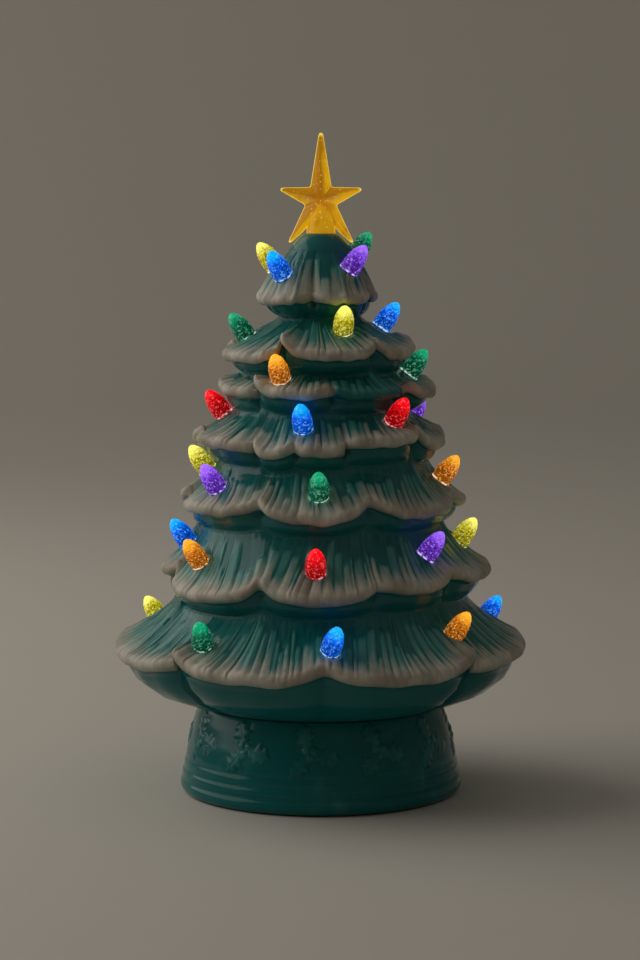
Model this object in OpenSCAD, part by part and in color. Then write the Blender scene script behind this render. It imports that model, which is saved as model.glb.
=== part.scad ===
// Ceramic tabletop christmas tree: a lighted crown that lifts off its base, with plastic bulbs, a
// plastic star and a battery lamp inside. Millimetres, +Z up. The origin is on the ground under the
// middle of the base, and the front is -Y.

/* [Crown] */
// Reach of the lowest boughs from the axis
bough_r = 111.6; // [104:0.2:122]
// Height of the crown from its seat on the base to the top of its dome
crown_h = 254; // [240:1:275]
// Half the thickness of a bough's rolled rim
rim_t = 4; // [3.2:0.1:4.4]
// How far a rim stands out beyond the root of the slope below it
rim_reach = 10.5; // [9.6:0.1:12]
// Height of the smooth belly under each rim
belly_h = 7; // [4:0.5:9]
// How far a rim lifts at the clefts between two boughs
cleft_lift = 8; // [4:0.5:9]
// How far a cleft cuts back into the rim
cleft_depth = 4.2; // [2:0.2:4.6]
// Depth of the combed flutes along the boughs
flute_depth = 0.9; // [0:0.1:1.2]
// Least wall of the hollow crown
crown_wall = 5; // [4:0.2:6]
// Radius of the flat ring where the crown sits on the base
neck_r = 65; // [62:0.5:68]
// Height of the crown's spigot inside the base
spigot_h = 5; // [3:0.5:8]
// Clearance round the spigot
spigot_clear = 0.4; // [0.3:0.05:0.8]
// Radius of the dome's shoulder under the star
dome_r = 16.5; // [15.5:0.5:18]
// Height of the dome above its shoulder
dome_h = 8; // [6:0.5:9]

/* [Bulbs] */
// Largest radius of a bulb
bulb_r = 5.45; // [4.6:0.05:5.8]
// Height of a bulb above its seat
bulb_h = 16.6; // [15:0.2:20]
// Radius of a bulb's peg
peg_r = 2.4; // [2:0.1:3]
// Length of a bulb's peg
peg_l = 9; // [7:0.5:10]
// Depth of the flat seat under a bulb
seat_depth = 1.4; // [1:0.1:2]
// Clearance round a bulb's peg and its foot
bulb_clear = 0.1; // [0.05:0.05:0.3]
// Lean of the bulbs away from upright, in degrees
bulb_lean = 36; // [24:1:42]

/* [Star] */
// Height of the star from its feet to its tip
star_h = 58.6; // [52:0.2:66]
// Width of the star across its arms
star_w = 44; // [42:0.2:50]
// Thickness of the star at its heart
star_t = 12; // [8:0.5:14]
// Thickness of the star at its edge
star_edge = 3; // [2:0.5:4]
// Gap between the star's feet and the dome
star_gap = 0.8; // [0.5:0.1:1.2]
// Radius of the bell that rests on the dome
bell_r = 7.9; // [7:0.1:8.2]
// Radius of the star's peg
star_peg_r = 4; // [3:0.5:5]
// Length of the star's peg
star_peg_l = 10; // [6:0.5:12]
// Running clearance round the star's peg
star_clear = 0.05; // [0.03:0.01:0.08]

/* [Base] */
// Radius of the foot
foot_r = 76.8; // [74:0.2:82]
// Height of the base from the ground to the crown's seat
base_h = 48; // [45:0.5:56]
// Height of the banded foot
band_h = 19; // [16:0.5:21]
// Depth of the grooves between the bands
band_d = 1.1; // [0.6:0.1:1.5]
// Wall of the base
base_wall = 4.5; // [3.5:0.1:5]
// Radius of the opening in the top of the base
throat_r = 55; // [52:0.5:56]
// How far the moulded leaves stand out of the wall
relief_h = 1.2; // [0.8:0.1:1.8]
// Length of a moulded leaf
leaf_l = 13; // [9:0.5:14]
// Width of a moulded leaf
leaf_w = 10; // [7:0.5:12]
// Radius of a moulded berry
berry_r = 2.2; // [1.8:0.1:2.6]
// Thickness of the soft ring under the foot
pad_t = 1; // [0.8:0.1:1.5]
// Width of the soft ring under the foot
pad_w = 6; // [4:0.5:7]

/* [Battery box] */
// Radius of a battery cell
cell_r = 7.1; // [7:0.05:7.25]
// Length of a battery cell's can
cell_l = 49; // [48:0.1:49.5]
// Radius of a cell's button
button_r = 2.7; // [2.5:0.1:2.8]
// Height of a cell's button
button_h = 1.4; // [1:0.1:1.5]
// Wall of the battery box, and thickness of its plate and door
box_wall = 2; // [1.6:0.1:2.4]
// Clearance round each cell
cell_clear = 0.5; // [0.3:0.1:0.8]
// Room for a contact at each end of a cell
contact_room = 4; // [3.4:0.1:5]
// Thickness of a contact plate
contact_t = 0.5; // [0.3:0.1:0.8]
// Radius of the wire of a contact spring
spring_wire_r = 0.35; // [0.3:0.05:0.4]
// Gap round the battery door
door_gap = 0.4; // [0.3:0.05:0.6]
// Radius of the hinge pin
hinge_pin_r = 1; // [0.8:0.05:1.1]
// Wall of the door's hinge barrel
barrel_wall = 0.95; // [0.9:0.05:1.2]
// Running clearance round the hinge pin
hinge_clear = 0.05; // [0.03:0.01:0.08]
// Height of the plate's underside above the ground
plate_z = 4.5; // [4:0.1:6]
// Radius of the plate
plate_r = 66; // [64:0.2:68]
// Clearance between the plate's edge and the foot of the base
plate_clear = 0.3; // [0.2:0.05:0.6]
// Width of the ledge that the plate is glued to
ledge_w = 3; // [2:0.5:4]

/* [Switch] */
// Travel of the switch knob from off to timer
switch_travel = 5; // [4:0.1:6]
// Length of the knob's grip along its travel
grip_l = 4; // [3:0.1:5]
// Width of the knob's grip
grip_w = 3; // [2.4:0.1:4]
// How far the grip stands out below the plate
grip_h = 2; // [1.2:0.1:2.5]
// Clearance round the knob
switch_clear = 0.2; // [0.15:0.05:0.3]
// How far the slider reaches beyond the grip on each side
slider_lap = 1.2; // [1:0.1:1.6]
// Wall of the switch body
switch_wall = 1.6; // [1.2:0.1:2]
// Distance of the switch in front of the battery box
switch_gap = 14; // [10:0.5:18]

/* [Lamp] */
// Height of the lamp post
post_h = 84; // [70:1:95]
// Outer radius of the lamp post
post_r = 6; // [5:0.5:8]
// Wall of the lamp post
post_wall = 2; // [1.5:0.1:2.5]
// Radius of the post's foot
post_foot_r = 15; // [12:0.5:18]
// Thickness of the post's foot and head
post_flange_t = 2; // [1.5:0.1:3]
// Radius of the lamp board
board_r = 13; // [11:0.5:15]
// Thickness of the lamp board
board_t = 1.6; // [1.2:0.1:2]
// Edge of one light-emitting chip's body
led_w = 3.5; // [3:0.1:4.5]
// Thickness of one light-emitting chip's body
led_t = 1.4; // [1:0.1:2]
// Height of the frosted cap over the lamp board
cap_h = 26; // [20:1:32]
// Wall of the frosted cap
cap_wall = 1.5; // [1.2:0.1:2]
// Clearance between the frosted cap and the board
cap_clear = 0.3; // [0.2:0.05:0.5]
// Radius of one core of the lamp lead
core_r = 0.7; // [0.5:0.05:0.9]

/* [Hidden] */
// Overrun of the cuts
over = 0.6;
// Steps round the wide tiers, and round the narrow tiers at the top
steps = 96;
top_steps = steps / 2;
fine = 96;
small = 32;

// Reach and level of the rims of the seven tiers, from the lowest
tier_reach_shares = [1, 0.797, 0.69, 0.609, 0.52, 0.466, 0.287];
tier_level_shares = [0.11, 0.264, 0.429, 0.559, 0.669, 0.748, 0.862];
// How hollow the slope above each rim is, from straight to a deep bow. Below 0 it bulges.
hollow_shares = [0.4, 0.4, 0.35, 0.3, 0.2, 0.2, -0.3];
hollow_corner_shares = [0.75, 0.15];
// Clefts between the boughs, anticlockwise from the front seen from above: the azimuth, the lift of
// the rim on the left and on the right of the cleft, and the lift and the extra reach of the bough
// on its right
clefts = [
    [[-95, 0.7, 1.2, 0.2, 0], [-46, 0.6, 1.4, 0.2, 0], [1, 1.05, 1.05, 0.15, 0],
        [49, 1.3, 0.3, 0.5, 0], [97, 1.2, 0.5, 0.1, 0], [151, 1, 0.6, 0.1, 0],
        [208, 0.6, 1.1, 0, 0]],
    [[-69, 1.5, 0.4, -0.1, 0], [-22, 1.2, 1.1, 0.1, 0], [20, 0.95, 0.95, 0.7, 0],
        [54, 1.4, 1.3, 0.8, 0.3], [100, 1.2, 0.6, 0.3, 0.2], [148, 1, 0.7, 0.1, 0],
        [196, 0.7, 1, 0.2, 0], [244, 0.6, 1.1, 0.8, -0.25]],
    [[-80, 1, -0.1, 0.15, 0], [-27, 0.95, 1, -0.05, 0], [21, 1.2, 1.1, 0.05, 0],
        [75, 0.6, 0.9, 0.1, 0.1], [128, 1, 0.6, 0, 0], [180, 0.8, 0.9, 0.1, 0],
        [230, 0.6, 1, 0.4, 0]],
    [[-80, 1, 0.4, 0.35, 0.2], [-34, 0.25, 0.7, -0.15, 0], [-13, 0.45, 0.45, 0.1, 0],
        [12, 0.2, 0.6, 0.6, 0], [54, 1, 1.4, 0.1, 0], [90, 0.9, 0.4, 0, 0],
        [137, 1, 0.6, 0.1, 0], [184, 0.7, 0.8, 0, 0], [232, 0.5, 1, 0.2, 0.2]],
    [[-88, 0.6, 0.7, 0.2, -0.22], [-42, 0.2, 1.3, 0.2, 0], [6, 0.45, 0.4, 0.1, -0.22],
        [57, 0.2, 0.6, -0.1, 0.4], [100, 0.9, 0.4, 0, 0.3], [147, 0.9, 0.6, 0, 0],
        [195, 0.6, 0.9, 0, 0], [233, 0.5, 1, 0, -0.3]],
    [[-95, 0.7, 0.2, -0.1, 0.2], [-27, 0.6, 1.4, 0.15, 0], [37, 0.6, 1, 0.1, -0.1],
        [92, 1, 0.5, 0, 0], [150, 0.8, 0.6, 0, 0], [208, 0.5, 0.9, 0, 0.1]],
    [[-100, 0.8, 0.6, 0, 0.3], [-11, 0.45, 0.45, 0.1, 0], [64, 0.3, 0.6, 0.2, -0.1],
        [130, 0.7, 0.5, 0, 0], [195, 0.5, 0.8, 0, 0.2]]];
// Angles of the points round a rim's bead, from its underside over the outside to its top
bead_angles = [-112, -60, -10, 26, 58];
slope_shares = [0.34, 0.68];
bowl_shares = [[0.24, 0.1], [0.62, 0.32], [0.88, 0.62]];
dome_shares = [[1, 0], [0.8, 0.5], [0.53, 1]];
rim_taper_share = 0.22;
root_lift_share = 0.45;
hollow_inset_share = 0.7;
tiers = len(clefts);
// First tier that has the coarser steps
narrow_tier = 5;

// Rows of bulbs: tier, row letter and first letters of the colours, then the azimuth of each bulb,
// its place on the slope and the turn of its lean to one side
bulb_rows = [
    [0, "g", "ygbobrp", [[-114, 0.32, 0], [-40, 0.4, 28], [3, 0.38, 23], [50, 0.52, 13],
        [109, 0.38, 0], [157, 0.4, -10], [208, 0.4, 8]]],
    [1, "f", "borpygo", [[-80, 0.62, 0], [-57, 0.48, 0], [-2, 0.46, 2], [47, 0.52, 38],
        [85, 0.6, 0], [150, 0.5, 12], [203, 0.5, -6]]],
    [2, "e", "ypgorb", [[-82, 0.66, 0], [-56, 0.46, 0], [-1, 0.48, 0], [81, 0.5, 0],
        [136, 0.5, -8], [200, 0.5, 10]]],
    [3, "d", "rbrpyg", [[-88, 0.72, 0], [-10, 0.6, 0], [46, 0.64, 0], [120, 0.48, 6],
        [172, 0.5, 0], [226, 0.5, -9]]],
    [4, "c", "ogbr", [[-26, 0.54, 4], [91, 0.64, 0], [160, 0.4, 0], [224, 0.36, 0]]],
    [5, "b", "gybo", [[-93, 0.32, 0], [23, 0.68, -16], [91, 0.52, 0], [196, 0.5, 10]]],
    [6, "a", "bpgy", [[-48, 0.4, 0], [39, 0.5, 38], [112, 0.78, 0], [270, 0.52, 0]]]];
glass = ["gold", "green", "royalblue", "orange", "red", "purple"];
bullet_shares = [[0.9, 0], [0.97, 0.06], [1, 0.2], [1, 0.34], [0.96, 0.5], [0.86, 0.66],
    [0.7, 0.8], [0.5, 0.91], [0.26, 0.98], [0, 1]];

// Right half of the star's outline above its feet, as shares of half the width and of the height
star_shares = [[0.05, 0.995], [0.26, 0.505], [0.97, 0.5], [1, 0.475], [0.38, 0.342]];
star_crotch_share = 0.29;
star_heart_share = 0.4;
star_drop_share = 0.62;
star_foot_shares = [1.02, 0.92];
bell_shares = [[1, 0], [0.92, 0.35], [0.6, 0.75], [0.3, 1]];

// Banded foot of the base, as shares of the groove's depth and of the foot's height
foot_shares = [[2, 0], [0.5, 0.08], [0, 0.18], [0.4, 0.31], [1.7, 0.38], [1.2, 0.44], [1.3, 0.62],
    [2.6, 0.7], [2.2, 0.77], [2.5, 0.93], [3.4, 1]];
// Plain wall of the base, from the foot's top to the lip
wall_shares = [[0, 0.08], [0.27, 0.4], [0.62, 0.72], [0.92, 0.95], [1, 1]];
sprigs = 12;
sprig_start = -64.5;
sprig_z_share = 0.48;
// Turn of each leaf of a sprig, and half its outline as shares of its width and length
leaf_turns = [-20, 104, 218];
leaf_shares = [[0.12, 0], [0.6, 0.13], [0.4, 0.26], [1, 0.4], [0.55, 0.54], [0.85, 0.7],
    [0.34, 0.82], [0.03, 1]];
berries = 3;

cells = 3;
spring_turns = 2.5;
spring_steps = 12;
spring_sides = 6;
leds_round = 5;

spigot_r = throat_r - spigot_clear;
seat_z = base_h;
crown_top = seat_z + crown_h;

function mix(a, b, s) = a + (b - a) * s;
function wrap(a, a0) = a0 + ((a - a0) % 360 + 360) % 360;

// Crown: a skin of seven tiers. Each tier has a belly, a rolled rim that is cleft between the
// boughs, and a hollow slope up to the root of the next tier.
// Bough at an azimuth, and the place in it from -1 at its left cleft to 1 at its right cleft
function bough_place(t, a) =
    let (c = clefts[t], n = len(c), w = wrap(a, c[0][0]),
         k = max([for (i = [0:n - 1]) if (c[i][0] <= w) i]),
         next = k == n - 1 ? c[0][0] + 360 : c[k + 1][0])
    [k, 2 * (w - c[k][0]) / (next - c[k][0]) - 1];
// How far the rim lifts above the level of its tier
function lift(t, a) =
    let (place = bough_place(t, a), c = clefts[t], k = place[0],
         side = place[1] < 0 ? c[k][2] : c[(k + 1) % len(c)][1])
    cleft_lift * mix(c[k][3], side, pow(abs(place[1]), 3));
function rim_half(t) = rim_t * (1 - rim_taper_share * t / (tiers - 1));
function tier_r(t) = bough_r * tier_reach_shares[t];
function tier_z(t) = seat_z + crown_h * tier_level_shares[t];
function rim_r(t, a) =
    let (place = bough_place(t, a))
    tier_r(t) + rim_reach * clefts[t][place[0]][4] - cleft_depth * pow(abs(place[1]), 5);
function bead(t, a, b) =
    let (h = rim_half(t)) [rim_r(t, a) - h + h * cos(b), tier_z(t) + lift(t, a) + h * sin(b)];
// Reach of the shortest bough of a tier, which the hollow keeps inside
function least_r(t) = tier_r(t) + rim_reach * min([for (c = clefts[t]) min(c[4], 0)]);
// The root of a belly, which rises a little with its rim
function low_root(t) = [tier_r(t) - rim_reach, tier_z(t) - rim_half(t) - belly_h];
function root(t, a) = low_root(t) + [0, root_lift_share * lift(t, a)];
// Top end of the slope above a tier: the root of the next tier's belly, or the dome's shoulder
dome_edge = [dome_r, crown_top - dome_h];
function slope_end(t, a) = t == tiers - 1 ? dome_edge : root(t + 1, a);
function corner(p, q, t) =
    [mix(p.x, q.x, mix(0.5, hollow_corner_shares[0], hollow_shares[t])),
     mix(p.y, q.y, mix(0.5, hollow_corner_shares[1], hollow_shares[t]))];
function slope(t, a, s) =
    let (p = bead(t, a, bead_angles[4]), q = slope_end(t, a), c = corner(p, q, t))
    p * pow(1 - s, 2) + c * 2 * s * (1 - s) + q * pow(s, 2);
function bowl(a, k) =
    let (p = [neck_r, seat_z], q = bead(0, a, bead_angles[0]))
    [mix(p.x, q.x, bowl_shares[k].x), mix(p.y, q.y, bowl_shares[k].y)];

// Every second step is a flute, cut into the rim and the slope
function flute(i) = i % 2 == 0 ? 0 : flute_depth;
function tier_profile(t, a, cut) = concat(
    t == 0 ? [] : [root(t, a)],
    [for (k = [0:4]) bead(t, a, bead_angles[k]) - [k < 2 ? 0 : cut, 0]],
    [for (s = slope_shares) slope(t, a, s) - [cut, cut] / 2]);
function low_profile(a, cut) = concat(
    [[spigot_r, seat_z - spigot_h], [spigot_r, seat_z], [neck_r, seat_z]],
    [for (k = [0:2]) bowl(a, k)],
    [for (t = [0:narrow_tier - 1]) each tier_profile(t, a, cut)]);
function high_profile(a, cut) = concat(
    [for (t = [narrow_tier:tiers - 1]) each tier_profile(t, a, cut)],
    [for (d = dome_shares) [dome_r * d.x, crown_top - dome_h * (1 - d.y)]]);
function turned(p, a) = [p.x * sin(a), -p.x * cos(a), p.y];
// Two triangles between neighbours i and k of one ring and the ring after it
function band_faces(start, n, i) =
    let (a = start + i, b = start + (i + 1) % n) [[a, a + n, b], [b, a + n, b + n]];

module crown_skin() {
    low = [for (i = [0:steps - 1]) low_profile(360 * i / steps, flute(i))];
    high = [for (i = [0:top_steps - 1]) high_profile(360 * i / top_steps, flute(i))];
    rows = len(low[0]);
    top_rows = len(high[0]);
    last = (rows - 1) * steps;
    high0 = rows * steps;
    apex = high0 + top_rows * top_steps;
    points = concat(
        [for (j = [0:rows - 1]) for (i = [0:steps - 1]) turned(low[i][j], 360 * i / steps)],
        [for (j = [0:top_rows - 1]) for (i = [0:top_steps - 1])
            turned(high[i][j], 360 * i / top_steps)]);
    faces = concat(
        [[for (i = [0:steps - 1]) i]],
        [for (j = [0:rows - 2]) for (i = [0:steps - 1]) each band_faces(j * steps, steps, i)],
        [for (i = [0:top_steps - 1])
            let (a = last + 2 * i, c = last + (2 * i + 2) % steps,
                 d = high0 + i, e = high0 + (i + 1) % top_steps)
            each [[a, d, a + 1], [a + 1, d, e], [a + 1, e, c]]],
        [for (j = [0:top_rows - 2]) for (i = [0:top_steps - 1])
            each band_faces(high0 + j * top_steps, top_steps, i)],
        [[for (i = [1:top_steps]) apex - i]]);
    polyhedron(points, faces, convexity = 12);
}

// Hollow of the crown: it widens under each tier and narrows at each root
module crown_hollow() {
    inner_r = spigot_r - crown_wall;
    belly = bowl(0, 1) + [-1, 2] * crown_wall / 2;
    roof_z = crown_top - dome_h - crown_wall;
    tier_points = [for (t = [0:tiers - 1])
        let (h = rim_half(t), rim = [least_r(t) - h, tier_z(t) + h], low = low_root(t),
             inset = hollow_inset_share * crown_wall, end = t == tiers - 1 ? dome_edge : low_root(t + 1))
        each [if (t > 0) low - [crown_wall, 0], [low.x - inset, tier_z(t)],
              corner(rim, end, t) - [inset, inset]]];
    rotate_extrude($fn = fine) polygon(concat(
        [[0, seat_z - spigot_h - over], [inner_r, seat_z - spigot_h - over],
         [inner_r, seat_z + crown_wall], belly],
        tier_points,
        [[dome_r - 3 * crown_wall / 2, roof_z], [0, roof_z]]));
}

// Frame of one bulb: turned to its azimuth, moved to its seat and leaned outwards
module at_bulb(row, i) {
    seat = row[3][i];
    p = slope(row[0], seat[0], seat[1]);
    rotate([0, 0, seat[0]]) translate([0, -p.x, p.y]) rotate([0, 0, seat[2]])
        rotate([bulb_lean, 0, 0]) translate([0, 0, -seat_depth]) children();
}

module bulb_socket() {
    bore = peg_r + bulb_clear;
    foot = bulb_r + 2 * bulb_clear;
    rotate_extrude($fn = small) polygon([[0, -2 * peg_l], [bore, -2 * peg_l], [bore, 0],
        [foot, 0], [foot, 3 * bulb_r], [0, 3 * bulb_r]]);
}

module tree_shell() color("darkgreen") difference() {
    crown_skin();
    crown_hollow();
    translate([0, 0, crown_top - dome_h - crown_wall - over])
        cylinder(r = star_peg_r + star_clear, h = dome_h + crown_wall + 2 * over, $fn = fine);
    for (row = bulb_rows) for (i = [0:len(row[3]) - 1]) at_bulb(row, i) bulb_socket();
}

// Bulb: a bullet with a straight peg that gathers light inside the crown
function glass_colour(letter) = glass[search(letter, "ygborp")[0]];
module bulb(row, i) color(glass_colour(row[2][i])) at_bulb(row, i)
    rotate_extrude($fn = small) polygon(concat(
        [[0, -peg_l], [peg_r, -peg_l], [peg_r, 0]],
        [for (b = bullet_shares) [bulb_r * b.x, bulb_h * b.y]]));

// Star: five ridged arms over a bell that rests on the dome. Its feet follow the dome.
star_z = crown_top - star_drop_share * dome_h;
bell_z = crown_top - star_z;
star_heart = star_h * star_heart_share;
module star_arms() {
    half = star_w / 2;
    right = concat(
        [for (p = star_shares) [half * p.x, star_h * p.y]],
        [for (s = star_foot_shares) [dome_r * s + star_gap, 0]],
        [[dome_r * dome_shares[2].x + star_gap, bell_z + star_gap]]);
    n = len(right);
    outline = concat(right, [[0, star_h * star_crotch_share]],
        [for (i = [n - 1:-1:0]) [-right[i].x, right[i].y]], [[0, star_h]]);
    m = len(outline);
    points = concat(
        [for (p = outline) [p.x, -star_edge / 2, p.y]],
        [for (p = outline) [p.x, star_edge / 2, p.y]],
        [[0, -star_t / 2, star_heart], [0, star_t / 2, star_heart]]);
    faces = [for (i = [0:m - 1]) let (k = (i + 1) % m)
        each [[i, k, 2 * m], [m + k, m + i, 2 * m + 1], [k, i, m + k], [i, m + i, m + k]]];
    polyhedron(points, faces, convexity = 6);
}
module star_topper() color("orange") translate([0, 0, star_z]) union() {
    star_arms();
    rotate_extrude($fn = fine) polygon(concat(
        [[0, bell_z - star_peg_l], [star_peg_r, bell_z - star_peg_l], [star_peg_r, bell_z]],
        [for (b = bell_shares) [bell_r * b.x, mix(bell_z, star_heart, b.y)]],
        [[0, star_heart]]));
}

// Base: a flared ceramic stand with a banded foot and moulded holly
lip_r = neck_r + rim_t / 8;
wall_foot_r = foot_r - foot_shares[10].x * band_d;
// Radius of the outer wall at a height above the banded foot
function wall_r(z) = mix(wall_foot_r, lip_r, (z - band_h) / (base_h - band_h));
base_profile = concat(
    [for (p = foot_shares) [foot_r - band_d * p.x, mix(pad_t, band_h, p.y)]],
    [for (p = wall_shares) [mix(wall_foot_r, lip_r, p.x), mix(band_h, base_h, p.y)]]);
plate_top = plate_z + box_wall;
// Frame on the wall, at a place across and up from the middle of a sprig
module on_wall(x, y) {
    z = sprig_z + y * cos(wall_lean);
    rotate([0, 0, x / wall_r(z) * 180 / PI]) translate([0, -wall_r(z), z])
        rotate([90 - wall_lean, 0, 0]) children();
}
module leaf(thick) translate([0, -leaf_l / 2, 0]) linear_extrude(height = thick) polygon(concat(
    [for (p = leaf_shares) [leaf_w / 2 * p.x, leaf_l * p.y]],
    [for (i = [len(leaf_shares) - 1:-1:0])
        [-leaf_w / 2 * leaf_shares[i].x, leaf_l * leaf_shares[i].y]]));
module sprig() {
    sink = base_wall / 2;
    reach = berry_r + leaf_l / 2;
    for (turn = leaf_turns) on_wall(reach * sin(turn), reach * cos(turn))
        rotate([0, 0, -turn]) translate([0, 0, -sink]) leaf(sink + relief_h);
    for (i = [0:berries - 1]) let (b = 360 * (i + 0.5) / berries, d = 1.1 * berry_r)
        on_wall(d * sin(b), d * cos(b))
            translate([0, 0, relief_h / 2]) sphere(r = berry_r, $fn = small);
}
module base_shell() color("seagreen") difference() {
    union() {
        rotate_extrude($fn = fine) polygon(concat([[0, pad_t]], base_profile, [[0, base_h]]));
        for (i = [0:sprigs - 1]) rotate([0, 0, sprig_start + 360 * i / sprigs]) sprig();
    }
    inner = wall_foot_r - base_wall;
    top_inner = lip_r - base_wall;
    rotate_extrude($fn = fine) polygon([
        [0, pad_t - over], [plate_r + plate_clear, pad_t - over],
        [plate_r + plate_clear, plate_top], [plate_r - ledge_w, plate_top],
        [plate_r - ledge_w, plate_top + ledge_w], [inner, band_h - ledge_w],
        [inner, band_h], [top_inner, base_h - 2 * base_wall], [throat_r, base_h - base_wall],
        [throat_r, base_h], [foot_r, base_h], [foot_r, base_h + leaf_l], [0, base_h + leaf_l]]);
}
wall_lean = atan((wall_foot_r - lip_r) / (base_h - band_h));
sprig_z = mix(band_h, base_h, sprig_z_share);

module foot_pad() color("dimgray") {
    pad_mid = mix(plate_r + plate_clear, foot_r - band_d * foot_shares[0].x, 0.5);
    rotate_extrude($fn = fine) translate([pad_mid - pad_w / 2, 0]) square([pad_w, pad_t]);
}

// Battery box: a round plate let into the foot, with a box for three cells above it
cell_pitch = 2 * cell_r + cell_clear;
box_x = cell_l / 2 + button_h / 2 + contact_room;
rows_y = cells * cell_pitch + cell_clear;
barrel_r = hinge_pin_r + hinge_clear + barrel_wall;
box_y0 = -rows_y / 2;
box_y1 = rows_y / 2 + 2 * barrel_r + 2 * door_gap;
pin_y = box_y1 - door_gap - barrel_r;
pin_z = plate_z + barrel_r;
cell_z = plate_top + cell_clear + cell_r;
roof_z = cell_z + cell_r + cell_clear;
box_top = roof_z + box_wall;
switch_y = box_y0 - box_wall - switch_gap;
slot_l = grip_l + switch_travel + 2 * switch_clear;
slot_w = grip_w + 2 * switch_clear;
contact_w = 1.2 * cell_r;
function cell_y(i) = (i - (cells - 1) / 2) * cell_pitch;
// Every second cell lies the other way round
function cell_way(i) = i % 2 == 0 ? 1 : -1;
module slab(x0, x1, y0, y1, z0, z1) translate([x0, y0, z0]) cube([x1 - x0, y1 - y0, z1 - z0]);

module battery_housing() color("black") difference() {
    union() {
        translate([0, 0, plate_z]) cylinder(r = plate_r, h = box_wall, $fn = fine);
        slab(-box_x - box_wall, box_x + box_wall, box_y0 - box_wall, box_y1 + box_wall,
             plate_top - box_wall / 2, box_top);
    }
    difference() {
        slab(-box_x, box_x, box_y0, box_y1, plate_z - over, roof_z);
        for (i = [0:cells - 1]) translate([0, cell_y(i), cell_z]) scale([cell_way(i), 1, 1])
            slab(box_x - contact_room + contact_t, box_x + over, -contact_w / 2, contact_w / 2,
                 -contact_w / 2, contact_w / 2);
    }
    translate([-box_x - box_wall - over, pin_y, pin_z]) rotate([0, 90, 0])
        cylinder(r = hinge_pin_r + hinge_clear, h = 2 * (box_x + box_wall + over), $fn = small);
    translate([-slot_l / 2, switch_y - slot_w / 2, plate_z - over])
        cube([slot_l, slot_w, box_wall + 2 * over]);
    translate([0, 0, roof_z - over]) cylinder(r = 3 * core_r, h = box_wall + 2 * over, $fn = small);
}

module hinge_pin() color("silver") translate([-box_x - box_wall, pin_y, pin_z])
    rotate([0, 90, 0]) cylinder(r = hinge_pin_r, h = 2 * (box_x + box_wall), $fn = small);

module battery_door() color("dimgray") difference() {
    door_x = box_x - door_gap;
    union() {
        slab(-door_x, door_x, box_y0 + door_gap, pin_y, plate_z, plate_top);
        translate([-door_x, pin_y, pin_z]) rotate([0, 90, 0])
            cylinder(r = barrel_r, h = 2 * door_x, $fn = small);
    }
    translate([-door_x - over, pin_y, pin_z]) rotate([0, 90, 0])
        cylinder(r = hinge_pin_r + hinge_clear, h = 2 * (door_x + over), $fn = small);
    translate([0, box_y0 + door_gap + cell_r, plate_z - box_wall / 2])
        scale([1, 0.5, 1]) cylinder(r = cell_r, h = box_wall, $fn = small);
}

module cell(i) color(i % 2 == 0 ? "goldenrod" : "slategray")
    translate([0, cell_y(i), cell_z]) scale([cell_way(i), 1, 1]) rotate([0, 90, 0])
        rotate_extrude($fn = small) polygon([
            [0, -cell_l / 2 - button_h / 2], [cell_r, -cell_l / 2 - button_h / 2],
            [cell_r, cell_l / 2 - button_h / 2], [button_r, cell_l / 2 - button_h / 2],
            [button_r, cell_l / 2 + button_h / 2], [0, cell_l / 2 + button_h / 2]]);

module contact_plates() color("silver") for (i = [0:cells - 1])
    translate([0, cell_y(i), cell_z]) scale([cell_way(i), 1, 1]) {
        slab(box_x - contact_room, box_x - contact_room + contact_t,
             -contact_w / 2, contact_w / 2, -contact_w / 2, contact_w / 2);
        slab(-box_x, -box_x + contact_t, -contact_w / 2, contact_w / 2,
             -contact_w / 2, contact_w / 2);
    }

// Contact spring: a coil that narrows towards its cell, with its end turns ground flat
spring_l = contact_room - contact_t;
spring_reach_shares = [0.62, 0.4];
function spring_ring(s) =
    let (a = 360 * spring_turns * s,
         r = mix(spring_reach_shares[0], spring_reach_shares[1], s) * cell_r,
         x = mix(spring_wire_r, spring_l - spring_wire_r, s))
    [for (j = [0:spring_sides - 1])
        let (b = 360 * (j + 0.5) / spring_sides, q = r + spring_wire_r * cos(b))
        [x + spring_wire_r * sin(b), q * cos(a), q * sin(a)]];
module spring() {
    n = spring_turns * spring_steps;
    points = [for (k = [0:n]) each spring_ring(k / n)];
    faces = concat(
        [[for (j = [0:spring_sides - 1]) j]],
        [for (k = [0:n - 1]) for (j = [0:spring_sides - 1])
            each band_faces(k * spring_sides, spring_sides, j)],
        [[for (j = [1:spring_sides]) (n + 1) * spring_sides - j]]);
    polyhedron(points, faces, convexity = 6);
}
module contact_springs() color("silver") for (i = [0:cells - 1])
    translate([0, cell_y(i), cell_z]) rotate([0, 0, cell_way(i) > 0 ? 0 : 180])
        translate([-box_x + contact_t, 0, 0]) spring();

// Slide switch on the plate, in front of the battery box
pocket_l = slot_l + 2 * slider_lap;
pocket_w = slot_w + 2 * slider_lap;
slider_z = plate_top + switch_clear;
slider_t = box_wall / 2;
pocket_top = slider_z + slider_t + switch_clear;
module switch_body() color("black") translate([0, switch_y, 0]) difference() {
    x = pocket_l / 2 + switch_wall;
    y = pocket_w / 2 + switch_wall;
    slab(-x, x, -y, y, plate_top, pocket_top + switch_wall);
    slab(-pocket_l / 2, pocket_l / 2, -pocket_w / 2, pocket_w / 2, plate_top - over, pocket_top);
}
module switch_knob() color("white") translate([-switch_travel / 2, switch_y, 0]) {
    x = grip_l / 2;
    y = grip_w / 2;
    slab(-x, x, -y, y, plate_z - grip_h, slider_z);
    slab(-x - slider_lap, x + slider_lap, -y - slider_lap, y + slider_lap,
         slider_z, slider_z + slider_t);
}

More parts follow.
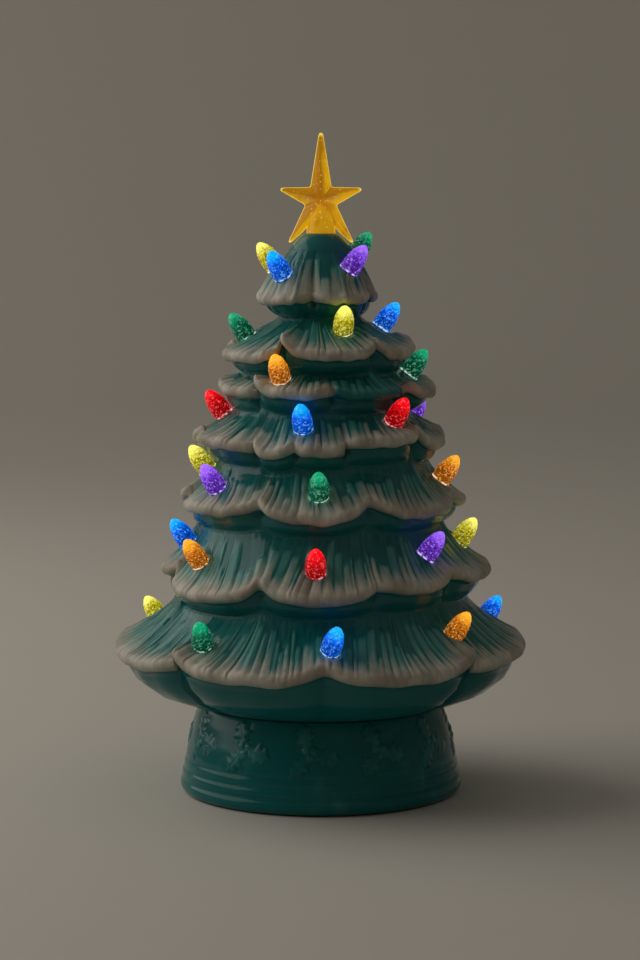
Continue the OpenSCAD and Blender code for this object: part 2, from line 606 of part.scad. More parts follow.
// Lamp: a post on the battery box, with a lamp board and a frosted cap at its head
board_z = box_top + post_h;
head_r = board_r + cap_clear + cap_wall;
module lamp_post() color("white") rotate_extrude($fn = fine) {
    bore = post_r - post_wall;
    polygon([[bore, box_top], [post_foot_r, box_top], [post_foot_r, box_top + post_flange_t],
        [post_r + post_flange_t, box_top + post_flange_t],
        [post_r, box_top + 2 * post_flange_t], [post_r, board_z - 2 * post_flange_t],
        [head_r, board_z - post_flange_t], [head_r, board_z], [bore, board_z]]);
}
module lamp_lead() color("ivory") for (side = [-1, 1])
    translate([side * core_r, 0, roof_z]) cylinder(r = core_r, h = board_z - roof_z, $fn = small);
module led_board() color("green") translate([0, 0, board_z])
    cylinder(r = board_r, h = board_t, $fn = fine);
module leds() color("lightyellow") translate([0, 0, board_z + board_t]) {
    slab(-led_w / 2, led_w / 2, -led_w / 2, led_w / 2, 0, led_t);
    for (i = [0:leds_round - 1]) rotate([0, 0, 360 * i / leds_round])
        translate([board_r - led_w, 0, 0])
            slab(-led_w / 2, led_w / 2, -led_w / 2, led_w / 2, 0, led_t);
}
function dome_point(a, r, z, h) = [r * cos(a), z + h * sin(a)];
module lamp_diffuser() color("whitesmoke") {
    inner = board_r + cap_clear;
    shoulder = board_z + cap_h / 2;
    rotate_extrude($fn = fine) polygon(concat(
        [[inner, board_z], [head_r, board_z]],
        [for (a = [0:15:90]) dome_point(a, head_r, shoulder, cap_h / 2)],
        [for (a = [90:-15:0]) dome_point(a, inner, shoulder, cap_h / 2 - cap_wall)]));
}

bulb_names = [for (row = bulb_rows) for (i = [0:len(row[3]) - 1]) str("bulb_", row[1], i + 1)];
base_shell();
foot_pad();
battery_housing();
hinge_pin();
battery_door();
for (i = [0:cells - 1]) cell(i);
contact_plates();
contact_springs();
switch_body();
switch_knob();
lamp_post();
lamp_lead();
led_board();
leds();
lamp_diffuser();
tree_shell();
star_topper();
for (row = bulb_rows) for (i = [0:len(row[3]) - 1])
    bulb(row, i);
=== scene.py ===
"""Looks of the ceramic christmas tree: glazed crown and base, lit bulbs, amber star, lamp and
battery plate.

Metres, +Z up, with the front of the tree towards -Y. Azimuths are in degrees, anticlockwise from
the front seen from above, as in the solid model that this script dresses.
"""

import math

import bpy
import numpy as np
from bpy.props import FloatProperty, FloatVectorProperty, IntProperty, PointerProperty
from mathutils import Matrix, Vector


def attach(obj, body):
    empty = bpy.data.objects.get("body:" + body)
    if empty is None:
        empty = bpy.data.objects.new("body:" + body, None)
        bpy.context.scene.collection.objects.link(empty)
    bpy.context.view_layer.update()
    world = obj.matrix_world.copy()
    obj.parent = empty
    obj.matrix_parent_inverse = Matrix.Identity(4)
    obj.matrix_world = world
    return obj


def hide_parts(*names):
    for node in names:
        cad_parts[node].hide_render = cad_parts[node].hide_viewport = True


bl_info = {
    "name": "Ceramic Christmas Tree",
    "version": (1, 0, 0),
    "blender": (4, 5, 0),
    "location": "View3D > Sidebar > Ceramic Tree",
    "description": "Glazes, lights and stages a ceramic tabletop christmas tree",
    "category": "Object",
}

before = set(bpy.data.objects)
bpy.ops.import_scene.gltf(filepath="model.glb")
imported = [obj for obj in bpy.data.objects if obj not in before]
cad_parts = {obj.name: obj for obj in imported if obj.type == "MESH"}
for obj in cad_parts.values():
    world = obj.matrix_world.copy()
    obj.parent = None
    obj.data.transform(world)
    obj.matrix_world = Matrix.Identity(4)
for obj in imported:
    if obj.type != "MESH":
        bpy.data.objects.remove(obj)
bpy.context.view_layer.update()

# Reach and level of the rims of the seven tiers, from the lowest, as shares of the crown's sizes
TIER_REACH_SHARES = (1, 0.797, 0.69, 0.609, 0.52, 0.466, 0.287)
TIER_LEVEL_SHARES = (0.11, 0.264, 0.429, 0.559, 0.669, 0.748, 0.862)
# How hollow the slope of each tier is, and where the corner that draws it lies at its most hollow
HOLLOW_SHARES = (0.4, 0.4, 0.35, 0.3, 0.2, 0.2, -0.3)
HOLLOW_CORNER_SHARES = (0.75, 0.15)
# Bowl under the lowest boughs, with its row next to their rims, and the dome under the star
BOWL_SHARES = ((0.24, 0.1), (0.62, 0.32), (0.88, 0.62))
BOWL_EDGE_SHARES = (0.96, 0.82)
DOME_SHARES = ((1, 0), (0.95, 0.2), (0.88, 0.38), (0.8, 0.55), (0.7, 0.76), (0.62, 0.91), (0.53, 1))
# How much thinner the highest rim is, how far the root of a belly lifts with its rim, how many
# walls the hollow stays within the slopes, and the part of half a bough that arches to its cleft
RIM_TAPER_SHARE, ROOT_LIFT_SHARE, HOLLOW_INSET_SHARE, ARCH_SHARE = 0.22, 0.45, 0.7, 0.1
# Clefts between the boughs of each tier: azimuth, lift of the rim on the cleft's left and on its
# right, as shares of the cleft lift, then lift and extra reach of the bough on its right
CLEFTS = [np.array(rows) for rows in (
    ((-95, 0.7, 1.2, 0.2, 0), (-46, 0.6, 1.4, 0.2, 0), (1, 1.05, 1.05, 0.15, 0),
     (49, 1.3, 0.3, 0.5, 0), (97, 1.2, 0.5, 0.1, 0), (151, 1, 0.6, 0.1, 0), (208, 0.6, 1.1, 0, 0)),
    ((-69, 1.5, 0.4, -0.1, 0), (-22, 1.2, 1.1, 0.1, 0), (20, 0.95, 0.95, 0.7, 0),
     (54, 1.4, 1.3, 0.8, 0.3), (100, 1.2, 0.6, 0.3, 0.2), (148, 1, 0.7, 0.1, 0),
     (196, 0.7, 1, 0.2, 0), (244, 0.6, 1.1, 0.8, -0.25)),
    ((-80, 1, -0.1, 0.15, 0), (-27, 0.95, 1, -0.05, 0), (21, 1.2, 1.1, 0.05, 0),
     (75, 0.6, 0.9, 0.1, 0.1), (128, 1, 0.6, 0, 0), (180, 0.8, 0.9, 0.1, 0), (230, 0.6, 1, 0.4, 0)),
    ((-80, 1, 0.4, 0.35, 0.2), (-34, 0.25, 0.7, -0.15, 0), (-13, 0.45, 0.45, 0.1, 0),
     (12, 0.2, 0.6, 0.6, 0), (54, 1, 1.4, 0.1, 0), (90, 0.9, 0.4, 0, 0), (137, 1, 0.6, 0.1, 0),
     (184, 0.7, 0.8, 0, 0), (232, 0.5, 1, 0.2, 0.2)),
    ((-88, 0.6, 0.7, 0.2, -0.22), (-42, 0.2, 1.3, 0.2, 0), (6, 0.45, 0.4, 0.1, -0.22),
     (57, 0.2, 0.6, -0.1, 0.4), (100, 0.9, 0.4, 0, 0.3), (147, 0.9, 0.6, 0, 0),
     (195, 0.6, 0.9, 0, 0), (233, 0.5, 1, 0, -0.3)),
    ((-95, 0.7, 0.2, -0.1, 0.2), (-27, 0.6, 1.4, 0.15, 0), (37, 0.6, 1, 0.1, -0.1),
     (92, 1, 0.5, 0, 0), (150, 0.8, 0.6, 0, 0), (208, 0.5, 0.9, 0, 0.1)),
    ((-100, 0.8, 0.6, 0, 0.3), (-11, 0.45, 0.45, 0.1, 0), (64, 0.3, 0.6, 0.2, -0.1),
     (130, 0.7, 0.5, 0, 0), (195, 0.5, 0.8, 0, 0.2)),
)]
TIERS = len(CLEFTS)
# Boughs whose rims have no frost, by tier
BARE_BOUGHS = {4: (2,)}
# Angles round a rim's bead, from its underside over the outside to its top
BEAD_START, BEAD_END = -112, 58

# Rows of bulbs, one for each tier: letter, keys of the colours, then the azimuth of each bulb, its
# place on the slope and the turn of its lean to one side
BULB_ROWS = (
    ("g", "ygbobrp", ((-114, 0.32, 0), (-40, 0.4, 28), (3, 0.38, 23), (50, 0.52, 13),
                      (109, 0.38, 0), (157, 0.4, -10), (208, 0.4, 8))),
    ("f", "borpygo", ((-80, 0.62, 0), (-57, 0.48, 0), (-2, 0.46, 2), (47, 0.52, 38), (85, 0.6, 0),
                      (150, 0.5, 12), (203, 0.5, -6))),
    ("e", "ypgorb", ((-82, 0.66, 0), (-56, 0.46, 0), (-1, 0.48, 0), (81, 0.5, 0), (136, 0.5, -8),
                     (200, 0.5, 10))),
    ("d", "rbrpyg", ((-88, 0.72, 0), (-10, 0.6, 0), (46, 0.64, 0), (120, 0.48, 6), (172, 0.5, 0),
                     (226, 0.5, -9))),
    ("c", "ogbr", ((-26, 0.54, 4), (91, 0.64, 0), (160, 0.4, 0), (224, 0.36, 0))),
    ("b", "gybo", ((-93, 0.32, 0), (23, 0.68, -16), (91, 0.52, 0), (196, 0.5, 10))),
    ("a", "bpgy", ((-48, 0.4, 0), (39, 0.5, 38), (112, 0.78, 0), (270, 0.52, 0))),
)
# Names of the bulbs' colours, and the colours of their tips, where most of the light comes out
BULB_COLOURS = {"y": ("yellow", (1.0, 0.95, 0.16)), "g": ("green", (0.0, 0.34, 0.15)),
                "b": ("blue", (0.0, 0.42, 1.0)), "o": ("orange", (1.0, 0.44, 0.015)),
                "r": ("red", (1.0, 0.0, 0.008)), "p": ("purple", (0.36, 0.14, 1.0))}
# Profile of a bulb above its seat
BULLET_SHARES = ((0.93, 0), (0.985, 0.02), (1, 0.055), (0.965, 0.09), (0.985, 0.15), (1, 0.26),
                 (0.985, 0.38), (0.94, 0.5), (0.87, 0.6), (0.77, 0.7), (0.65, 0.79), (0.51, 0.87),
                 (0.37, 0.93), (0.24, 0.97), (0.11, 0.993))
BULB_SEED = 11

# Right half of the star's outline above its feet, as shares of half its width and of its height
STAR_SHARES = ((0.05, 0.995), (0.26, 0.505), (0.97, 0.5), (1, 0.475), (0.38, 0.342))
STAR_FOOT_SHARES = (1.02, 0.92)
# Levels of the crotch and the heart, how far the feet reach down the dome, and the blunt edge
STAR_CROTCH_SHARE, STAR_HEART_SHARE, STAR_DROP_SHARE, STAR_EDGE_SHARE = 0.29, 0.4, 0.62, 0.72
# Angle from which an edge of the star stays sharp, and the radius in the middle of its peg's end
STAR_CREASE, POINT_R = 24, 0.0001
# Rings of the star's face on their way to its heart, and how far the face has swollen there
STAR_FACE_SHARES = ((0, 0), (0.015, 0.05), (0.05, 0.12), (0.12, 0.19), (0.3, 0.36), (0.5, 0.55),
                    (0.7, 0.74), (0.85, 0.88), (0.95, 0.965))
# Reach of the dome's flat top, and the bell that stands on it
DOME_TOP_SHARE = 0.53
BELL_SHARES = ((1, 0), (0.96, 0.175), (0.92, 0.35), (0.76, 0.55), (0.6, 0.75), (0.45, 0.875),
               (0.3, 1))

# Banded foot of the base, as shares of the groove's depth and of the foot's height, then its wall
FOOT_SHARES = ((2, 0), (0.5, 0.08), (0, 0.18), (0.4, 0.31), (1.7, 0.38), (1.2, 0.44), (1.3, 0.62),
               (2.6, 0.7), (2.2, 0.77), (2.5, 0.93), (3.4, 1))
WALL_SHARES = ((0, 0.08), (0.27, 0.4), (0.62, 0.72), (0.92, 0.95), (1, 1))
# Turns of a sprig's three leaves, and the half width of a leaf from its foot to its tip
LEAF_TURNS = (-20, 104, 218)
LEAF_SHARES = ((0.12, 0), (0.6, 0.13), (0.4, 0.26), (1, 0.4), (0.55, 0.54), (0.85, 0.7),
               (0.34, 0.82), (0.03, 1))
SPRIG_Z_SHARE, BERRIES = 0.48, 3
# Where a leaf's edge rises, from outside it to inside, the width of its rib, and the pool of glaze
# round it: its gap from the edge and its width
LEAF_EDGE, RIB_W, POOL_GAP, POOL_W = (-0.0014, 0.0020), 0.00035, 0.0004, 0.0006

# Points in each ring and rings in each stretch of the skins
RING_STEPS, BASE_STEPS, BULB_STEPS, STAR_STEPS = 96, 780, 36, 180
BELL_STEPS, PAPER_STEPS = 48, 128
RIM_ROWS, SLOPE_ROWS, BASE_ROWS, BULB_ROUNDS, SWEEP_ROWS = 10, 20, 86, 30, 13
# Rings of a bulb's peg and collar, which have no bumps
PLAIN_ROUNDS = 6
# Share of each slope that its rows cover, and how far its grooves sway, as a share of half a bough
SLOPE_TOP, SWAY = 0.955, 0.22
# How far a belly bulges, and the soft edge of the ring that sits on the base: inwards and up
BELLY_BULGE, NECK_EDGE = 0.0012, (0.0008, 0.0006)
# What the comb holds on the belly, below the 0 of the rim's upper edge
BELLY_RUN = -0.02
# The seat under a bulb: its gap round the bulb, the width of the cut where the slope stands above
# it and the edge of the fill where the slope lies below it, the most that either cuts or fills, and
# how far the seat lies under the bulb
SEAT_GAP, SEAT_CUT, SEAT_FILL = 0.0002, 0.0028, (-0.001, 0.0006)
SEAT_REACH, SEAT_EASE = 0.02, 0.00008
# How far the corners of the bands and of the star are rounded, and how uneven a bulb's skin is
BAND_ROUNDING, STAR_ROUNDING, BULB_BUMPS = 0.0011, 0.0009, 0.00009
# Gap between the battery plate's recess and its ledge, the height under the lip of the base in
# which the moulded leaves fade out, and the radius of the flat middle of the paper floor
LEDGE_GAP, RELIEF_FADE, PAPER_R = 0.0003, 0.001, 0.5
# Streaks of the glaze in a metre round the rim and in a metre up the slope
BROAD_STREAKS, FINE_STREAKS = (430, 46, 1), (1150, 120, 1)

# Soft boxes: name, the field of their power, place, target, size and colour
SOFT_BOXES = (
    ("key_light", "key", (-1.15, 0.22, 0.88), (0, 0, 0.18), (1.75, 1.4), (1.0, 0.955, 0.89)),
    ("fill_light", "fill", (0.7, -1.5, 1.3), (0, 0, 0.16), (1.3, 0.9), (1.0, 0.97, 0.93)),
    ("backdrop_light", "wash", (-1.7, 2.1, 1.7), (-0.9, 3.9, 0.6), (1.4, 1.4), (1.0, 0.96, 0.90)),
)


def field(kind=FloatProperty, **settings):
    """A kind of field of the sidebar, to be given its name, its default and its description."""
    def made(name, default, text):
        return kind(name=name, default=default, description=text, **settings)
    return made


length = field(unit="LENGTH", precision=4)
angle = field(subtype="ANGLE")
share = field(min=0, max=1, subtype="FACTOR")
amount = field()
strength = field(min=0)
whole = field(IntProperty)
colour = field(FloatVectorProperty, size=3, min=0, subtype="COLOR")


class TREE_PG_crown(bpy.types.PropertyGroup):
    """Sizes of the glazed crown."""

    bough_r: length("Bough reach", 0.1116, "Reach of the lowest boughs from the axis")
    crown_h: length("Crown height", 0.254, "Height of the crown above its seat on the base")
    seat_z: length("Seat height", 0.048, "Height of the crown's seat above the ground")
    rim_t: length("Rim half thickness", 0.004, "Half the thickness of a bough's rolled rim")
    rim_reach: length("Rim reach", 0.0105, "How far a rim stands out beyond the root of its belly")
    belly_h: length("Belly height", 0.007, "Height of the smooth belly under each rim")
    cleft_lift: length("Cleft lift", 0.008, "How far a rim lifts at the clefts between two boughs")
    cleft_depth: length("Cleft depth", 0.0042, "How far a cleft cuts back into the rim")
    crease: length("Crease depth", 0.0010, "Extra depth of the narrow crease between two boughs")
    overlap: length("Bough overlap", 0.0012,
                    "How far a bough tucks in behind its neighbour nearer the front")
    wobble: length("Wobble", 0.0011, "Unevenness of the hand-formed rims")
    wall: length("Wall", 0.005, "Least wall of the hollow crown")
    neck_r: length("Neck radius", 0.065, "Radius of the ring where the crown sits on the base")
    spigot_r: length("Spigot radius", 0.0546, "Radius of the spigot that enters the base")
    spigot_h: length("Spigot height", 0.005, "Height of the spigot")
    dome_r: length("Dome radius", 0.0165, "Radius of the dome's shoulder under the star")
    dome_h: length("Dome height", 0.008, "Height of the dome above its shoulder")
    star_bore_r: length("Star bore", 0.00405, "Radius of the bore for the star's peg")
    groove_pitch: length("Groove pitch", 0.0046, "Mean distance between the combed grooves")
    groove_depth: length("Groove depth", 0.0013, "Depth of the combed grooves")
    frost_reach: length("Frost reach", 0.014, "How far the frost climbs up a bough from its rim")
    fan: amount("Fan", 0.3, "How strongly the grooves fan out across a bough")
    seed: whole("Seed", 7, "Seed of the hand-combed grooves")


class TREE_PG_base(bpy.types.PropertyGroup):
    """Sizes of the glazed base."""

    foot_r: length("Foot radius", 0.0768, "Radius of the foot")
    height: length("Height", 0.048, "Height of the base from the ground to the crown's seat")
    lip_r: length("Lip radius", 0.0655, "Radius of the wall at the crown's seat")
    band_h: length("Band height", 0.019, "Height of the banded foot")
    band_d: length("Band depth", 0.0010, "Depth of the grooves between the bands")
    pad_t: length("Pad thickness", 0.001, "Thickness of the soft ring under the foot")
    wall: length("Wall", 0.0045, "Wall of the base")
    throat_r: length("Throat radius", 0.055, "Radius of the opening in the top")
    recess_r: length("Recess radius", 0.0663, "Radius of the recess for the battery plate")
    plate_top: length("Plate top", 0.0065, "Height of the top of the battery plate")
    ledge_w: length("Ledge width", 0.003, "Width of the ledge that the plate is glued to")
    relief_h: length("Relief height", 0.0007, "How far the moulded leaves stand out of the wall")
    leaf_l: length("Leaf length", 0.0145, "Length of a moulded leaf")
    leaf_w: length("Leaf width", 0.0115, "Width of a moulded leaf")
    berry_r: length("Berry radius", 0.0022, "Radius of a moulded berry")
    sprigs: whole("Sprigs", 12, "Number of moulded sprigs round the wall")
    sprig_start: amount("First sprig", -64.5, "Azimuth of the first sprig, in degrees")


class TREE_PG_bulbs(bpy.types.PropertyGroup):
    """Sizes and colours of the bulbs."""

    radius: length("Radius", 0.00545, "Largest radius of a bulb")
    height: length("Height", 0.0166, "Height of a bulb above its seat")
    peg_r: length("Peg radius", 0.0024, "Radius of a bulb's peg")
    peg_l: length("Peg length", 0.009, "Length of a bulb's peg")
    seat_depth: length("Seat depth", 0.0014, "Depth of the flat seat under a bulb")
    lean: angle("Lean", math.radians(36), "Lean of the bulbs away from upright")
    pebble_h: length("Pebble height", 0.00035, "Height of the pebbles on a bulb")
    pebble_pitch: length("Pebble pitch", 0.0008, "Distance between the pebbles")
    glow: strength("Glow", 1.0, "Brightness of the lit bulbs")
    yellow: colour("Yellow", (0.48, 0.42, 0.010), "Colour of the yellow bulbs")
    green: colour("Green", (0.0, 0.11, 0.055), "Colour of the green bulbs")
    blue: colour("Blue", (0.0, 0.11, 0.84), "Colour of the blue bulbs")
    orange: colour("Orange", (0.56, 0.15, 0.003), "Colour of the orange bulbs")
    red: colour("Red", (0.58, 0.0, 0.003), "Colour of the red bulbs")
    purple: colour("Purple", (0.15, 0.03, 0.58), "Colour of the purple bulbs")


class TREE_PG_star(bpy.types.PropertyGroup):
    """Sizes and colour of the star."""

    height: length("Height", 0.0586, "Height of the star from its feet to its tip")
    width: length("Width", 0.044, "Width of the star across its arms")
    thick: length("Thickness", 0.012, "Thickness of the star at its heart")
    edge: length("Edge", 0.003, "Thickness of the star at its edge")
    gap: length("Gap", 0.0008, "Gap between the star's feet and the dome")
    bell_r: length("Bell radius", 0.0079, "Radius of the bell that rests on the dome")
    peg_r: length("Peg radius", 0.004, "Radius of the star's peg")
    peg_l: length("Peg length", 0.010, "Length of the star's peg")
    amber: colour("Amber", (0.42, 0.215, 0.008), "Colour of the amber plastic")
    glow: strength("Glow", 0.52, "Brightness of the lit star")


class TREE_PG_glaze(bpy.types.PropertyGroup):
    """Colours of the glaze."""

    deep: colour("Deep glaze", (0.004, 0.135, 0.138), "Glaze where it pools")
    thin: colour("Thin glaze", (0.100, 0.380, 0.335), "Glaze where it runs thin over a ridge")
    frost: colour("Frost", (0.78, 0.68, 0.565), "Frosted rims")
    blush: colour("Frost shade", (0.56, 0.43, 0.34), "Warm shade in the frost")
    bisque: colour("Bisque", (0.62, 0.57, 0.49), "Bare clay inside the crown")
    gloss: share("Glaze roughness", 0.16, "Roughness of the bare glaze")
    satin: share("Frost roughness", 0.62, "Roughness of the frosted rims")


class TREE_PG_studio(bpy.types.PropertyGroup):
    """The stage, its light and its camera."""

    camera_x: length("Camera side", -0.0005, "Place of the camera to the right of the axis")
    camera_y: length("Camera distance", 1.5, "Distance of the camera in front of the axis")
    camera_z: length("Camera height", 0.324, "Height of the camera")
    pitch: angle("Pitch", math.radians(5.9), "How far the camera looks down")
    lens_mm: amount("Lens", 104.5, "Focal length of the camera, in millimetres")
    floor_r: length("Floor radius", 2.7, "Radius of the flat floor")
    sweep_r: length("Sweep radius", 1.2, "Radius of the curve between floor and backdrop")
    backdrop_h: length("Backdrop height", 3.4, "Height of the backdrop")
    paper: colour("Paper", (0.70, 0.665, 0.60), "Colour of the floor and the backdrop")
    sky: amount("Sky", 0.14, "Strength of the light from above")
    key: amount("Key", 9.8, "Power of the soft box on the left, in watts")
    fill: amount("Fill", 0.25, "Power of the fill in front, in watts")
    wash: amount("Backdrop wash", 6.5, "Power of the soft box that lights the backdrop, in watts")


# Shader maths


class Socket:
    """An output of a node; arithmetic on it adds Math nodes."""

    def __init__(self, look, link):
        self.look = look
        self.link = link

    def maths(self, operation, first, second):
        return self.look.add("ShaderNodeMath", {"operation": operation}, {0: first, 1: second})

    def __add__(self, other):
        return self.maths("ADD", self, other)

    def __radd__(self, other):
        return self.maths("ADD", other, self)

    def __sub__(self, other):
        return self.maths("SUBTRACT", self, other)

    def __rsub__(self, other):
        return self.maths("SUBTRACT", other, self)

    def __mul__(self, other):
        return self.maths("MULTIPLY", self, other)

    def __rmul__(self, other):
        return self.maths("MULTIPLY", other, self)


class Look:
    """A material in the making: a graph of nodes and the calls that add to it."""

    def __init__(self, name):
        self.material = bpy.data.materials.new(name)
        self.material.use_nodes = True
        self.tree = self.material.node_tree
        self.tree.nodes.clear()
        # Coordinates that stay with the piece
        self.place = self.add("ShaderNodeTexCoord", output="Object")

    def add(self, kind, settings=None, sockets=None, output=0):
        """Add a node of a kind: its settings first, then the values or links of its sockets."""
        node = self.tree.nodes.new(kind)
        for name, value in (settings or {}).items():
            if name == "stops":
                ramp = node.color_ramp.elements
                while len(ramp) < len(value):
                    ramp.new(0.5)
                for element, (place, tint) in zip(ramp, value):
                    element.position = place
                    element.color = (*tint, 1)
            else:
                setattr(node, name, value)
        for name, value in (sockets or {}).items():
            socket = node.inputs[name]
            if isinstance(value, Socket):
                self.tree.links.new(value.link, socket)
            else:
                socket.default_value = (*value, 1) if socket.type == "RGBA" else value
        return Socket(self, node.outputs[output]) if node.outputs else node

    def stored(self, name, output="Fac"):
        """What each point of the mesh holds under a name."""
        return self.add("ShaderNodeAttribute", {"attribute_name": name}, output=output)

    def part(self, vector, number):
        """One of a vector's three parts."""
        return self.add("ShaderNodeSeparateXYZ", None, {"Vector": vector}, number)

    def noise(self, scale, detail=2.0, vector=None):
        """Noise through the piece, or over another vector."""
        return self.add("ShaderNodeTexNoise", None,
                        {"Vector": vector or self.place, "Scale": scale, "Detail": detail})

    def streaks(self, vector, factors, detail=2.0):
        """Noise that is drawn out, with a factor for each of the vector's parts."""
        drawn = self.add("ShaderNodeVectorMath", {"operation": "MULTIPLY"}, {0: vector, 1: factors})
        return self.noise(1.0, detail, drawn)

    def cells(self, scale, output="Distance", feature="F1"):
        return self.add("ShaderNodeTexVoronoi", {"feature": feature},
                        {"Vector": self.place, "Scale": scale}, output)

    def step(self, value, low, high):
        """0 at low and 1 at high, with a smooth change between them."""
        return self.add("ShaderNodeMapRange", {"interpolation_type": "SMOOTHSTEP"},
                        {"Value": value, "From Min": low, "From Max": high})

    def mix(self, factor, first, second):
        """Two colours mixed."""
        return self.add("ShaderNodeMix", {"data_type": "RGBA"}, {0: factor, 6: first, 7: second}, 2)

    def finish(self, tint, roughness, relief, more=None):
        """Add the principled shader and the material's output. Relief is the height of the bumps,
        their distance and their strength."""
        height, distance, force = relief
        bump = self.add("ShaderNodeBump", None,
                        {"Height": height, "Distance": distance, "Strength": force})
        sockets = {"Base Color": tint, "Roughness": roughness, "Normal": bump, **(more or {})}
        made = self.add("ShaderNodeBsdfPrincipled", None, sockets)
        self.add("ShaderNodeOutputMaterial", None, {"Surface": made})
        return self.material


def dimmed(tint, factor):
    return tuple(c * factor for c in tint)


def paled(tint, part):
    """A colour moved a part of the way to white."""
    return tuple(lerp(c, 1.0, part) for c in tint)


# Meshes


def smooth(value, low, high):
    """0 at low and 1 at high, with a smooth change between them."""
    t = np.clip((value - low) / (high - low), 0, 1)
    return t * t * (3 - 2 * t)


def turned(r, z, azimuth):
    """Points at a radius and a height, turned to their azimuths."""
    r, z, a = np.broadcast_arrays(r, z, np.radians(azimuth))
    return np.stack([r * np.sin(a), -r * np.cos(a), z], axis=-1)


def lerp(a, b, t):
    return a + (b - a) * t


def walked(line):
    """How far along a line each of its corners lies."""
    return np.concatenate([[0], np.cumsum(np.linalg.norm(np.diff(line, axis=0), axis=1))])


def on_line(line, run, places):
    """Points at places along a line whose corners lie at the places of run."""
    return np.stack([np.interp(places, run, line[:, k]) for k in (0, 1)], 1)


def rounded(line, count, reach, closed=False):
    """Points evenly along a line and at its corners, all rounded over a reach."""
    run = walked(line)
    end = run[-1]
    places = np.unique(np.concatenate([np.linspace(0, end, count), run]))
    if closed:
        places = places[:-1]
    shifted = [places + d for d in np.linspace(-reach, reach, 5)]
    return sum(on_line(line, run, p % end if closed else np.clip(p, 0, end)) for p in shifted) / 5


class Skin:
    """Points, faces and stored numbers of a mesh that is built ring by ring."""

    def __init__(self):
        self.points, self.faces, self.slots = [], [], []
        self.stored = {}
        self.count = 0

    def ring(self, points, **stored):
        """Add a ring of points, which hold one number or one each under a name, and number them."""
        points = np.asarray(points, dtype=float)
        start = self.count
        self.points.append(points)
        self.count += len(points)
        for name, values in stored.items():
            values = np.asarray(values, dtype=float)
            values = values if values.ndim else np.full(len(points), values)
            self.stored.setdefault(name, []).append((start, values))
        return np.arange(start, self.count)

    def face(self, corners, slot=0):
        self.faces.append([int(corner) for corner in corners])
        self.slots.append(slot)

    def join(self, low, high, slot=0):
        """Faces between two rings of as many points, facing out when the second is the higher."""
        faces = np.stack([low, np.roll(low, -1), np.roll(high, -1), high], 1).tolist()
        self.faces += faces
        self.slots += [slot] * len(faces)

    def chain(self, rings, slot=0, flip=False):
        """Join each ring to the next."""
        for low, high in zip(rings, rings[1:]):
            self.join(*((high, low) if flip else (low, high)), slot)

    def fan(self, ring, tip, flip=False):
        """Triangles from a ring to the one point of its tip."""
        for a, b in zip(ring, np.roll(ring, -1)):
            self.face((b, a, *tip) if flip else (a, b, *tip))

    def lace(self, low, high, low_azimuths, high_azimuths):
        """Triangles between two rings of other counts, each sorted by azimuth."""
        start = low_azimuths[0]
        lows = np.append((low_azimuths - start) % 360, 360)
        highs = (high_azimuths - start) % 360
        first = int(np.argmin(highs))
        high, highs = np.roll(high, -first), np.roll(highs, -first)
        highs = np.append(highs, highs[0] + 360)
        n, m, i, j = len(low), len(high), 0, 0
        while i < n or j < m:
            if j == m or (i < n and lows[i + 1] <= highs[j + 1]):
                self.face((low[i % n], low[(i + 1) % n], high[j % m]))
                i += 1
            else:
                self.face((low[i % n], high[(j + 1) % m], high[j % m]))
                j += 1

    def revolve(self, profile, steps=RING_STEPS, slot=0, **stored):
        """Rings of a turned profile of (radius, height), joined one to the next."""
        azimuths = np.arange(steps) * 360 / steps
        rings = [self.ring(turned(r, z, azimuths), **stored) for r, z in profile]
        self.chain(rings, slot)
        return rings, azimuths

    def build(self, name, materials, sharp=None):
        """Make the mesh's object, with its materials."""
        mesh = bpy.data.meshes.new(name)
        points = np.concatenate(self.points)
        mesh.from_pydata(points.tolist(), [], self.faces)
        for key, blocks in self.stored.items():
            wide = blocks[0][1].ndim > 1
            values = np.zeros((len(points), 3) if wide else len(points))
            for start, block in blocks:
                values[start:start + len(block)] = block
            layer = mesh.attributes.new(key, "FLOAT_VECTOR" if wide else "FLOAT", "POINT")
            layer.data.foreach_set("vector" if wide else "value", values.ravel())
        mesh.polygons.foreach_set("use_smooth", np.ones(len(self.faces), dtype=bool))
        mesh.polygons.foreach_set("material_index", np.array(self.slots, dtype=np.int32))
        if sharp:
            mesh.set_sharp_from_angle(angle=math.radians(sharp))
        mesh.validate()
        mesh.update()
        for material in materials:
            mesh.materials.append(material)
        made = bpy.data.objects.new(name, mesh)
        bpy.context.scene.collection.objects.link(made)
        return made

    def piece(self, name, materials, body, slot, replaces, sharp=None):
        """Make the piece on the body that carries it."""
        made = self.build(name, materials, sharp)
        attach(made, body)
        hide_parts(*replaces)


